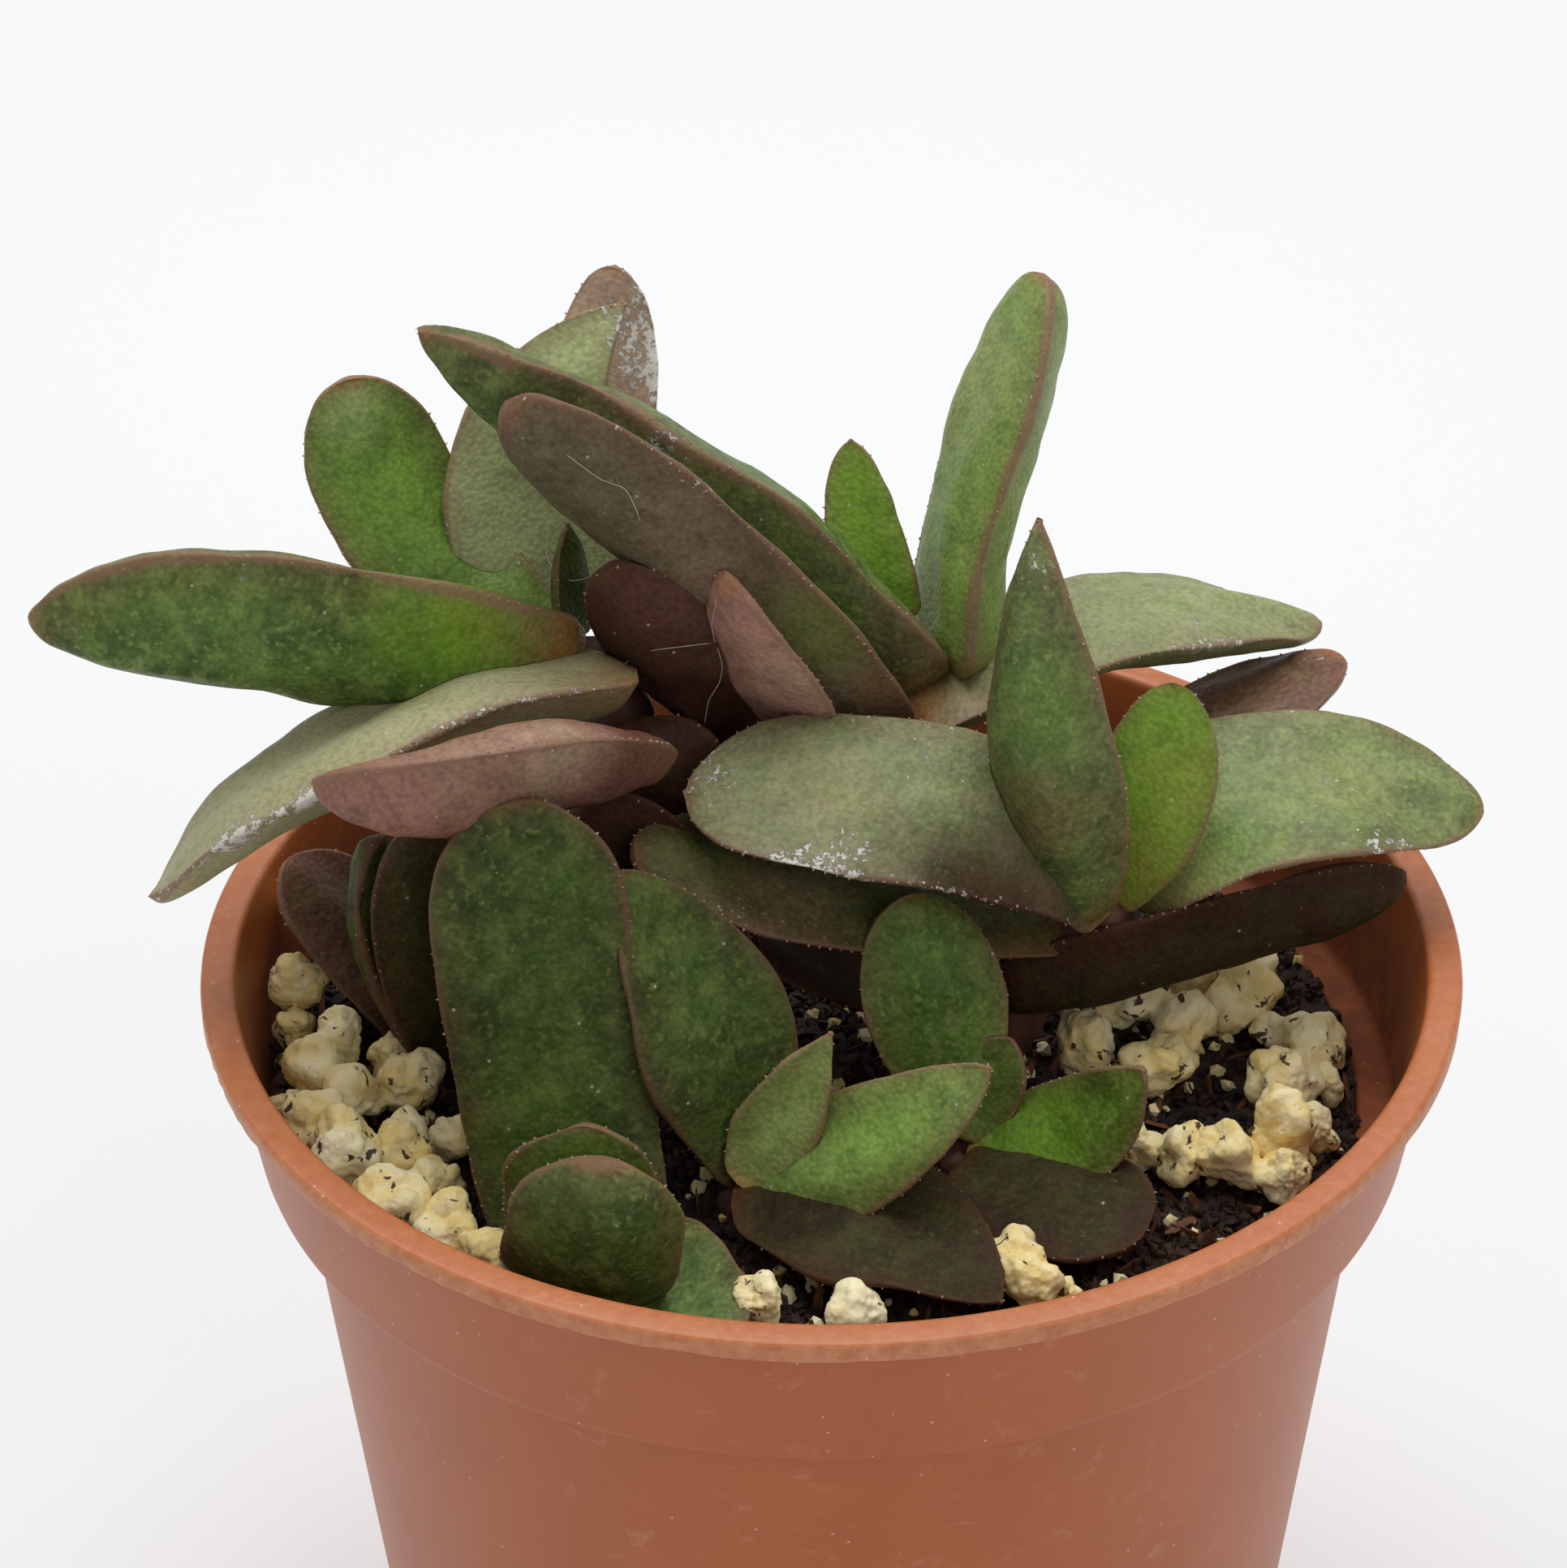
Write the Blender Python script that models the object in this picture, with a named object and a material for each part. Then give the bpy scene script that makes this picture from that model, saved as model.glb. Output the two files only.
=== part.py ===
"""A small gasteria in a round nursery pot.

A thin plastic pot is filled with potting mix. Seven shoots stand in the mix, each a short
stem with thick, blunt leaves set round it, and pumice grains lie on the mix between them.
Lengths in the tables are in millimetres and are turned to metres where a mesh is made.
The origin is the middle of the pot's underside, +Z is up and -Y is the front.
"""
import math
import random

import bmesh
import bpy
import numpy as np
from mathutils import Euler, Vector
from mathutils.bvhtree import BVHTree

MM = 0.001
CLEARANCE = 0.3

# Pot, all radii to the pot's axis
POT_HEIGHT = 50.0
POT_SIDES = 40
RIM_OUTER_R = 27.5
RIM_INNER_R = 26.0
RIM_LIP_HEIGHT = 0.9
WALL = 0.6
COLLAR_TOP_R = 26.6
COLLAR_FOOT_R = 25.45
COLLAR_FOOT_Z = 42.0
BODY_TOP_R = 23.9
BODY_FOOT_R = 19.3
FLOOR = 1.4
FOOT_CHAMFER = 0.4
DRAIN_HOLES = 5
DRAIN_R = 2.4
DRAIN_RING_R = 12.0

# Potting mix, banked up towards the left, where it also covers the pot's inner step
MIX_TOP_Z = 43.0
MIX_BANK = 0.04
MIX_SIDES = 30
MIX_RINGS = (4.0, 8.0, 12.0, 16.0, 20.0)
MIX_RELIEF = 0.35
STEP_COVER = 1.5

# Leaf grid
LEAF_RINGS = 8
LEAF_HALF_SIDES = 4
BROAD_TIP = (0.75, 0.5)
ROUND_TIP = (0.62, 0.5)
BLUNT_TIP = (0.45, 0.62)
TAPER_TIP = (0.3, 0.7)
POINTED_TIP = (0.2, 0.85)

# Stem grid
STEM_SIDES = 8
STEM_RINGS = 5

COLOURS = {
    "terracotta_plastic": ((0.47, 0.17, 0.07), 0.45),
    "peat": ((0.03, 0.018, 0.012), 0.95),
    "pumice": ((0.70, 0.62, 0.36), 0.9),
    "stem": ((0.12, 0.05, 0.025), 0.7),
    "green": ((0.09, 0.19, 0.04), 0.5),
    "bronze": ((0.14, 0.07, 0.05), 0.5),
}

# Each stem: points from its foot in the mix to its crown, and its radius at foot and crown
STEMS = {
    "stem_a": ([(-2.5, 3.0, 34.0), (-5.5, 3.5, 48.0), (-10.5, 6.5, 61.0)], 2.0, 1.5),
    "stem_b": ([(2.0, 5.0, 34.0), (2.5, 6.5, 48.0), (4.5, 9.0, 59.0)], 2.0, 1.5),
    "stem_c": ([(5.5, 1.0, 34.0), (7.0, 0.5, 44.0), (12.5, 0.5, 51.5)], 2.0, 1.4),
    "stem_d": ([(-11.0, -13.5, 36.0), (-11.0, -14.0, 40.0), (-11.0, -14.5, 44.0)], 1.6, 1.2),
    "stem_e": ([(-4.0, -10.0, 36.0), (-4.0, -10.5, 40.0), (-4.0, -10.5, 44.0)], 1.5, 0.9),
    "stem_f": ([(5.5, -6.5, 36.0), (5.5, -6.5, 40.0), (5.5, -7.0, 43.5)], 1.4, 0.9),
    "stem_g": ([(-16.5, 0.5, 36.0), (-16.5, 0.5, 40.0), (-16.5, 0.5, 44.0)], 1.4, 1.0),
}

LEAVES = []


def leaf(name, colour, spine, faces, width, lower=2.0, upper=0.4, tip=ROUND_TIP, base=0.75,
         swell=0.4, keel=0.15, ridge=1.7, faces_tip=None):
    """List one leaf.

    spine runs from the stem to the tip, faces is the way the upper face looks, lower and
    upper are how far the two faces bulge from the plane of the margins (a negative upper
    is a hollow), base is the foot's share of the width, swell is how far along the blade is
    widest, and keel is where the ridge underneath lies between margins -1 and 1.
    """
    LEAVES.append(dict(name="leaf_" + name, colour=colour, spine=spine, faces=faces, width=width,
                       lower=lower, upper=upper, tip=tip, base=base, swell=swell, keel=keel,
                       ridge=ridge, faces_tip=faces_tip or faces))


# Shoot e, front middle. Each leaf is cut clear of those above it in this list.
leaf("e_young", "green", [(-3.8, -11.6, 45.6), (-1.8, -11, 49.2), (0, -10, 52.4)],
     (0.1, -0.7, 0.7), 3.8, lower=1.2, upper=-0.2, base=0.5, tip=POINTED_TIP)
leaf("e_right", "green", [(-4, -11.6, 44.8), (1.6, -12.4, 48.4), (6.6, -12, 52)],
     (0.1, -0.6, 0.8), 5.6, lower=2.0, base=0.35, swell=0.5, tip=TAPER_TIP)
leaf("e_back", "green", [(-3.4, -10.4, 44.6), (-5.4, -8.4, 52.4), (-8.8, -6.4, 58.2)],
     (0.3, -0.55, 0.75), 8, base=0.3, swell=0.55, tip=TAPER_TIP)
leaf("e_low", "bronze", [(-4.2, -12, 45.2), (2, -14.4, 45.8), (7, -18.4, 44.8)],
     (0.2, -0.3, 0.95), 9, lower=1.2, base=0.35, swell=0.55, tip=POINTED_TIP)

# Shoot f, right of the middle
leaf("f_young", "green", [(5.4, -7, 44.6), (6.4, -6.4, 46.6), (7.6, -6, 49)],
     (0, -0.7, 0.7), 3.5, lower=1.0, tip=BLUNT_TIP)
leaf("f_up", "green", [(5.2, -7, 44.6), (4.4, -5, 50.8), (3, -3, 54.4)],
     (0.1, -0.6, 0.8), 6.3, base=0.3, swell=0.6)
leaf("f_right", "green", [(5.8, -7.6, 44), (9.8, -8.4, 45.6), (13.2, -9, 49.8)],
     (0.1, -0.55, 0.8), 5.4, lower=1.8, base=0.5, tip=TAPER_TIP)
leaf("f_low", "bronze", [(5.4, -8.4, 44), (9.2, -11, 44.6), (13, -14, 44.6)],
     (0, -0.2, 1), 6.5, lower=1.2)

# Shoot c, on the right
leaf("c_bright", "green", [(12.2, 0.4, 51.6), (14, 0.4, 57.4), (14.6, 1.6, 62.2)],
     (-0.1, -0.75, 0.65), 5, lower=1.2, upper=0.3, base=0.4, swell=0.6)
leaf("c_up", "green", [(11.6, -1, 52.2), (9.2, -0.4, 62), (8.8, 3, 69.6)],
     (0.45, 0.75, -0.5), 6.6, lower=2.8, base=0.3, swell=0.45, tip=POINTED_TIP)
leaf("c_right", "green", [(12.6, 1.6, 51), (16.6, 2.4, 55.6), (22.2, 3, 56), (28.6, 3, 54.6)],
     (-0.1, -0.3, 0.95), 8.8, lower=2.4, base=0.5, swell=0.3, tip=BLUNT_TIP)
leaf("c_left", "green", [(12.2, -0.4, 52.2), (6.2, -1.6, 57.8), (0, -2, 59.2), (-6.2, -1.6, 59)],
     (0.1, -0.4, 0.9), 8.5, lower=2.8, base=0.55, swell=0.5)
leaf("c_back", "bronze", [(13, 4, 54.2), (17.2, 8, 56.6), (23, 11, 57.6)], (-0.2, 0.05, 1), 6.5)
leaf("c_under", "green", [(10.6, 0, 50.4), (-0.4, -1.8, 54.4), (-8.4, -4, 57.4)],
     (0.05, -0.35, 0.95), 7, lower=1.6, base=0.4, swell=0.6)
leaf("c_shade", "bronze", [(7.2, 0, 47.6), (14.2, 0.4, 49.4), (25.2, 2, 52.2)], (0, 0.85, 0.5), 6)
leaf("c_dry_left", "bronze", [(3.4, 1, 46.4), (-0.2, 0.4, 48.4), (-3.4, 0, 50)],
     (0, -0.05, 1), 5, lower=0.8, upper=0.2)

# Shoot b, upper middle
leaf("b_small", "green", [(3, 9, 60.6), (1.6, 10.4, 64.6), (1, 12, 68.4)],
     (0, -0.75, 0.65), 3.4, lower=1.0, upper=0.3, tip=BLUNT_TIP)
leaf("b_right", "green", [(2.8, 6, 58), (11.4, 10, 60.2), (22.2, 14, 57.4)],
     (0, 0.1, 1), 8.5, lower=2.0, upper=0.8, tip=BLUNT_TIP)
leaf("b_tall", "green", [(4.8, 9, 59), (6.2, 11, 67.6), (9.4, 14, 75.4)],
     (-0.85, -0.2, 0.5), 7.8, lower=2.6, upper=0.6, base=1.1, tip=ROUND_TIP)
leaf("b_long", "green", [(4.2, 8, 58.4), (-5.6, 8, 68.4), (-17.4, 8, 76)],
     (0.5, 0.7, 0.5), 8.6, lower=3.4, upper=1.6, tip=TAPER_TIP)
leaf("b_grey", "bronze", [(2, 6.4, 57.4), (-5.8, 4, 68.2), (-13.4, 3.6, 75)],
     (0.6, 0.75, 0.25), 8.2, lower=2.6, upper=0.8, tip=BROAD_TIP)
leaf("b_pink", "bronze", [(0.2, 8, 54), (-2.6, 3, 62.6), (-4.4, 1, 68.2)],
     (0.6, 0.75, -0.25), 6.4, lower=1.8, upper=0.6, tip=BLUNT_TIP)
leaf("b_round", "bronze", [(-1.4, 7.6, 54.2), (-5.4, 4, 62), (-9.4, 2, 67.8)],
     (0.4, 0.9, -0.1), 7.5, lower=2.0, upper=0.5)
leaf("b_behind", "bronze", [(3, 8.5, 47.5), (5.6, 14, 47.6), (8, 20.2, 46.4)], (0, 0.2, 1), 7, lower=1.6)

# Shoot a, upper left
leaf("a_young", "green", [(-11, 7, 61.4), (-11.2, 8, 63.8), (-11.4, 9, 66)],
     (0.9, -0.35, 0.25), 3, lower=1.0, tip=POINTED_TIP)
leaf("a_face", "green", [(-11.4, 6.4, 61.2), (-17.6, 9.6, 64.6), (-20.8, 12, 71.6)],
     (0.15, -0.65, 0.75), 6.4, upper=0.3, base=0.4, swell=0.5, tip=BROAD_TIP)
leaf("a_down", "green", [(-8.6, 3, 62.4), (-17.6, -0.4, 62.6), (-29, -4, 55.4)],
     (-0.3, 0.15, 0.95), 8, lower=2.6, base=0.8, tip=BLUNT_TIP)
leaf("a_west", "green", [(-10.6, 5, 62.6), (-21.4, 3, 65.4), (-29.8, 1.6, 66.8), (-33.8, 1, 66)],
     (0, 0.8, 0.6), 9, lower=4.0, upper=1.5, base=0.45, swell=0.35, tip=BLUNT_TIP)
leaf("a_pale", "green", [(-11.2, 9, 60.6), (-13.2, 12, 67), (-8.8, 15, 73.6)],
     (0.3, -0.65, 0.7), 8, tip=POINTED_TIP)
leaf("a_back", "bronze", [(-10.6, 10, 60.2), (-10.2, 15, 66), (-9.4, 19, 73.4)], (-0.3, -0.65, 0.7), 5.2)
leaf("a_pink", "bronze", [(-7.2, 0, 59.4), (-10, -3.6, 62.6), (-14.8, -6.4, 63.4), (-21.2, -8, 63.6)],
     (0, 0.75, 0.7), 6.2, lower=2.8, upper=1.0, base=0.3, swell=0.75, tip=BLUNT_TIP)
leaf("a_sheath", "bronze", [(-6.2, 3, 52.4), (-7, 2.4, 56.2), (-8.4, 3, 59.8)],
     (0.3, 0.9, -0.25), 6.5, lower=1.4)
leaf("a_old", "bronze", [(-5.2, 1, 50.6), (-7.8, -0.4, 54.8), (-10.6, -1, 58.2)],
     (0.4, 0.9, 0.1), 6, lower=1.6)
leaf("a_behind", "bronze", [(-6.4, 5.6, 50), (-9.4, 11, 50.4), (-12, 17, 48.6)],
     (0.2, 0, 1), 6.4, lower=1.6)

# Shoot d, front left
leaf("d_young", "green", [(-11.2, -14.4, 43.6), (-10.4, -16, 48.2), (-10.2, -16, 52.2)],
     (0, -0.75, 0.65), 6.6, lower=1.2)
leaf("d_front", "green", [(-10.6, -15.6, 44.6), (-9.8, -19.6, 48.6), (-9.2, -20, 53.6)],
     (0, 1, -0.05), 7.3, lower=1.8, base=0.9, tip=BROAD_TIP)
leaf("d_tall", "green", [(-10.2, -14, 43.2), (-12, -10, 52.6), (-13, -7.6, 62.6)],
     (0.05, -0.7, 0.7), 8.2, base=0.85, swell=0.3, tip=BROAD_TIP)
leaf("d_low", "green", [(-9.8, -14, 44.6), (-7.6, -18, 44.6), (-5.8, -22, 44.2)],
     (0, -0.2, 1), 8, lower=1.4)

# Shoot g, far left
leaf("g_inner", "green", [(-16.8, -0.4, 44.4), (-17.6, -1.6, 50.8), (-17.6, -2, 57.4)],
     (0.3, -0.65, 0.7), 4.5)
leaf("g_mid", "green", [(-17.2, 0.4, 43.6), (-18.8, 0, 49.2), (-19.6, -0.4, 55.8)],
     (0.85, -0.3, 0.45), 5)
leaf("g_outer", "bronze", [(-17.8, 1.6, 42.8), (-20.6, 3, 47.8), (-24.2, 4, 51.6)],
     (0.5, -0.4, 0.75), 6, lower=1.6, base=0.45, swell=0.6)


def principled(name):
    """A material with the colour and roughness that COLOURS gives."""
    colour, roughness = COLOURS[name]
    material = bpy.data.materials.new(name)
    material.use_nodes = True
    shader = material.node_tree.nodes["Principled BSDF"]
    shader.inputs["Base Color"].default_value = (*colour, 1.0)
    shader.inputs["Roughness"].default_value = roughness
    return material


def solid(name, points, faces, colour):
    """An object from points in millimetres."""
    mesh = bpy.data.meshes.new(name)
    mesh.from_pydata([tuple(float(v) * MM for v in p) for p in points], [], faces)
    mesh.materials.append(principled(colour))
    obj = bpy.data.objects.new(name, mesh)
    bpy.context.scene.collection.objects.link(obj)
    return obj


def smooth(obj, angle=50.0):
    obj.data.shade_smooth()
    obj.data.set_sharp_from_angle(angle=math.radians(angle))


def rings_to_faces(count, sides, closed_start, closed_end):
    """Quads between stacked rings of points, with a fan at each end that has a middle point."""
    faces = []
    for i in range(count - 1):
        for j in range(sides):
            k = (j + 1) % sides
            faces.append((i * sides + j, i * sides + k, (i + 1) * sides + k, (i + 1) * sides + j))
    first, last = count * sides, count * sides + 1
    for j in range(sides):
        k = (j + 1) % sides
        if closed_start:
            faces.append((first, k, j))
        if closed_end:
            faces.append((last, (count - 1) * sides + j, (count - 1) * sides + k))
    return faces


def turned(name, profile, sides, colour):
    """Turn a profile of (radius, height) about Z; its first and last points are on the axis."""
    points = []
    for radius, height in profile[1:-1]:
        for j in range(sides):
            angle = 2 * math.pi * j / sides
            points.append((radius * math.cos(angle), radius * math.sin(angle), height))
    points.append((0.0, 0.0, profile[0][1]))
    points.append((0.0, 0.0, profile[-1][1]))
    faces = rings_to_faces(len(profile) - 2, sides, True, True)
    obj = solid(name, points, faces, colour)
    return obj


def face_out(obj):
    """Triangles that all face outwards."""
    bm = mesh_of(obj)
    bmesh.ops.triangulate(bm, faces=bm.faces)
    bmesh.ops.recalc_face_normals(bm, faces=bm.faces)
    bm.to_mesh(obj.data)
    bm.free()


def mesh_of(obj):
    """The object's mesh with its modifiers applied, as a bmesh."""
    graph = bpy.context.evaluated_depsgraph_get()
    bm = bmesh.new()
    bm.from_object(obj, graph)
    return bm


def keep_largest(bm):
    """Drop every loose part but the one with the largest box round it."""
    left = set(bm.verts)
    parts = []
    while left:
        seed = left.pop()
        part, stack = {seed}, [seed]
        while stack:
            for edge in stack.pop().link_edges:
                for vert in edge.verts:
                    if vert in left:
                        left.discard(vert)
                        part.add(vert)
                        stack.append(vert)
        parts.append(part)

    def extent(part):
        low = [min(v.co[k] for v in part) for k in range(3)]
        high = [max(v.co[k] for v in part) for k in range(3)]
        return math.prod(high[k] - low[k] for k in range(3))

    largest = max(parts, key=extent)
    bmesh.ops.delete(bm, geom=[v for v in bm.verts if v not in largest], context="VERTS")


def tidy(bm):
    """Merge coincident points and leave plain triangles."""
    bmesh.ops.remove_doubles(bm, verts=bm.verts, dist=0.002 * MM)
    bmesh.ops.dissolve_degenerate(bm, dist=0.002 * MM, edges=bm.edges)
    bmesh.ops.triangulate(bm, faces=bm.faces)


def as_cutter(obj):
    """Hide obj, which is only there to cut with, and give it with a tree of its faces."""
    obj.name = "cutter_" + obj.name
    obj.hide_render = True
    obj.display_type = "WIRE"
    bm = mesh_of(obj)
    tree = BVHTree.FromBMesh(bm)
    bm.free()
    return obj, tree


def boolean(obj, other, operation):
    """Apply a Boolean of obj with an object or a collection, by the first solver that closes."""
    for solver in ("EXACT", "MANIFOLD"):
        modifier = obj.modifiers.new("boolean", "BOOLEAN")
        modifier.operation = operation
        modifier.solver = solver
        if isinstance(other, bpy.types.Collection):
            modifier.operand_type = "COLLECTION"
            modifier.collection = other
        else:
            modifier.object = other
        bm = mesh_of(obj)
        obj.modifiers.clear()
        tidy(bm)
        if all(edge.is_manifold for edge in bm.edges):
            break
    bm.to_mesh(obj.data)
    bm.free()


def trim(obj, cutters):
    """Cut obj clear of every grown neighbour that it touches, and keep its main part."""
    bm = mesh_of(obj)
    tree = BVHTree.FromBMesh(bm)
    bm.free()
    hit = [cutter for cutter, other in cutters if tree.overlap(other)]
    for cutter in hit:
        boolean(obj, cutter, "DIFFERENCE")
    if hit:
        bm = mesh_of(obj)
        keep_largest(bm)
        bm.to_mesh(obj.data)
        bm.free()


def along(points, t):
    """The point at t, from 0 to 1, of a smooth curve through a few points."""
    points = np.array(points, float)
    steps = np.linalg.norm(np.diff(points, axis=0), axis=1)
    knots = np.concatenate([[0.0], np.cumsum(steps)]) / steps.sum()
    place = np.zeros(3)
    for i, point in enumerate(points):
        weight = 1.0
        for j, knot in enumerate(knots):
            if j != i:
                weight *= (t - knot) / (knots[i] - knot)
        place += weight * point
    return place


def heading(points, t, step=0.01):
    low, high = max(0.0, t - step), min(1.0, t + step)
    way = along(points, high) - along(points, low)
    return way / np.linalg.norm(way)


def half_width_share(t, base, swell, tip):
    """How wide the blade is at t, as a share of its widest."""
    start, power = tip
    rise = min(1.0, t / swell)
    share = base + (1 - base) * math.sin(rise * math.pi / 2)
    if t > start:
        share *= (1 - ((t - start) / (1 - start)) ** 2) ** power
    return share


def leaf_points(spec, rings, half_sides, grow=0.0):
    """Rings of points round the blade, then the middle of its foot and its tip."""
    points = []
    spine = spec["spine"]
    for i in range(rings):
        t = 1 - (1 - i / rings) ** 1.6
        centre = along(spine, t)
        way = heading(spine, t)
        looks = (1 - t) * np.array(spec["faces"], float) + t * np.array(spec["faces_tip"], float)
        across = np.cross(way, looks)
        across /= np.linalg.norm(across)
        normal = np.cross(across, way)
        share = half_width_share(t, spec["base"], spec["swell"], spec["tip"])
        half = spec["width"] / 2 * share + 2 * grow
        depth = share ** 0.7
        angles = [math.pi * j / half_sides for j in range(half_sides + 1)]
        upper = [-math.cos(a) for a in angles]
        lower = upper[-2:0:-1]
        rise = spec["upper"] * depth + 1.5 * grow
        fall = spec["lower"] * depth + 1.5 * grow
        for s in upper:
            points.append(centre + across * half * s + normal * rise * (1 - s * s))
        for s in lower:
            side = 1 - spec["keel"] if s > spec["keel"] else 1 + spec["keel"]
            drop = 1 - (abs(s - spec["keel"]) / side) ** spec["ridge"]
            points.append(centre + across * half * s - normal * fall * drop)
    points.append(along(spine, 0.0) - heading(spine, 0.0) * grow)
    points.append(along(spine, 1.0) + heading(spine, 1.0) * 2 * grow)
    return points


def make_leaf(spec, grow=0.0):
    sides = 2 * LEAF_HALF_SIDES
    points = leaf_points(spec, LEAF_RINGS, LEAF_HALF_SIDES, grow)
    faces = rings_to_faces(LEAF_RINGS, sides, True, True)
    obj = solid(spec["name"], points, faces, spec["colour"])
    face_out(obj)
    return obj


def make_stem(name, points, foot_r, crown_r, grow=0.0):
    rings = []
    for i in range(STEM_RINGS):
        t = i / (STEM_RINGS - 1)
        centre = along(points, t)
        way = heading(points, t)
        across = np.cross(way, (0.0, 1.0, 0.0))
        across /= np.linalg.norm(across)
        other = np.cross(way, across)
        radius = foot_r + (crown_r - foot_r) * t + grow
        for j in range(STEM_SIDES):
            angle = 2 * math.pi * j / STEM_SIDES
            rings.append(centre + radius * (across * math.cos(angle) + other * math.sin(angle)))
    rings.append(along(points, 0.0) - heading(points, 0.0) * (foot_r * 0.6 + grow))
    rings.append(along(points, 1.0) + heading(points, 1.0) * (crown_r * 0.6 + grow))
    obj = solid(name, rings, rings_to_faces(STEM_RINGS, STEM_SIDES, True, True), "stem")
    face_out(obj)
    return obj


def pot_inner_r(z):
    """Inner radius of the pot at height z, of its body or of the wider collar above it."""
    if z > COLLAR_FOOT_Z + WALL:
        share = (z - COLLAR_FOOT_Z - WALL) / (POT_HEIGHT - COLLAR_FOOT_Z - WALL)
        return COLLAR_FOOT_R - WALL + (RIM_INNER_R - COLLAR_FOOT_R + WALL) * share
    share = z / COLLAR_FOOT_Z
    return BODY_FOOT_R + (BODY_TOP_R - BODY_FOOT_R) * share - WALL


def make_pot(grow=0.0):
    lip_z = POT_HEIGHT - RIM_LIP_HEIGHT
    ledge_z = COLLAR_FOOT_Z + WALL
    profile = [
        (0.0, -grow),
        (BODY_FOOT_R - FOOT_CHAMFER + grow, -grow),
        (BODY_FOOT_R + grow, FOOT_CHAMFER),
        (BODY_TOP_R + grow, COLLAR_FOOT_Z - grow),
        (COLLAR_FOOT_R + grow, COLLAR_FOOT_Z - grow),
        (COLLAR_TOP_R + grow, lip_z - grow),
        (RIM_OUTER_R - 0.1 + grow, lip_z + 0.1 - grow),
        (RIM_OUTER_R + grow, POT_HEIGHT - 0.4),
        (RIM_OUTER_R - 0.2 + grow, POT_HEIGHT + grow),
        (RIM_INNER_R - grow, POT_HEIGHT + grow),
        (COLLAR_FOOT_R - WALL - grow, ledge_z + grow),
        (pot_inner_r(COLLAR_FOOT_Z) - grow, ledge_z - 0.4 + grow),
        (pot_inner_r(FLOOR) - grow, FLOOR + grow),
        (0.0, FLOOR + grow),
    ]
    pot = turned("pot", profile, POT_SIDES, "terracotta_plastic")
    if grow:
        return pot
    for i in range(DRAIN_HOLES):
        angle = 2 * math.pi * (i + 0.5) / DRAIN_HOLES
        x, y = DRAIN_RING_R * math.cos(angle), DRAIN_RING_R * math.sin(angle)
        ring = [(DRAIN_R * math.cos(a), DRAIN_R * math.sin(a))
                for a in (2 * math.pi * k / 16 for k in range(16))]
        points = [(x + u, y + v, z) for z in (-1.0, FLOOR + 1.0) for u, v in ring]
        points += [(x, y, -1.0), (x, y, FLOOR + 1.0)]
        drill = solid("drill", points, rings_to_faces(2, 16, True, True), "peat")
        boolean(pot, drill, "DIFFERENCE")
        bpy.data.objects.remove(drill)
    return pot


def mix_height(x, y):
    """Height of the mix, uneven by a fraction of a millimetre."""
    wave = math.sin(0.55 * x + 0.9) * math.cos(0.47 * y - 0.4) + 0.6 * math.sin(0.9 * y + 0.35 * x)
    return MIX_TOP_Z - MIX_BANK * x + MIX_RELIEF * wave


def mix_edge(angle):
    """How far out the mix reaches and its height there; the step shows at the back right."""
    inside = pot_inner_r(COLLAR_FOOT_Z) * math.cos(math.pi / POT_SIDES) - CLEARANCE
    hidden = min(1.0, max(0.0, 0.5 - 1.6 * math.cos(angle - math.radians(40.0))))
    radius = inside + 0.05 + STEP_COVER * hidden
    height = mix_height(radius * math.cos(angle), radius * math.sin(angle))
    return radius, max(height, COLLAR_FOOT_Z + WALL + CLEARANCE + 0.05)


def make_mix(grow=0.0):
    foot_z = FLOOR + CLEARANCE
    foot_r = pot_inner_r(foot_z) * math.cos(math.pi / POT_SIDES) - CLEARANCE + grow
    neck_z = COLLAR_FOOT_Z + WALL - 0.4 + CLEARANCE
    neck_r = pot_inner_r(COLLAR_FOOT_Z) * math.cos(math.pi / POT_SIDES) - CLEARANCE + grow
    angles = [2 * math.pi * j / MIX_SIDES for j in range(MIX_SIDES)]
    points = [(foot_r * math.cos(a), foot_r * math.sin(a), foot_z) for a in angles]
    points += [(neck_r * math.cos(a), neck_r * math.sin(a), neck_z) for a in angles]
    for a in angles:
        radius, height = mix_edge(a)
        points.append(((radius + grow) * math.cos(a), (radius + grow) * math.sin(a), height + grow))
    for radius in reversed(MIX_RINGS):
        for a in angles:
            x, y = radius * math.cos(a), radius * math.sin(a)
            points.append((x, y, mix_height(x, y) + grow))
    points.append((0.0, 0.0, foot_z))
    points.append((0.0, 0.0, mix_height(0.0, 0.0) + grow))
    faces = rings_to_faces(3 + len(MIX_RINGS), MIX_SIDES, True, True)
    mix = solid("potting_mix", points, faces, "peat")
    face_out(mix)
    return mix


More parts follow.
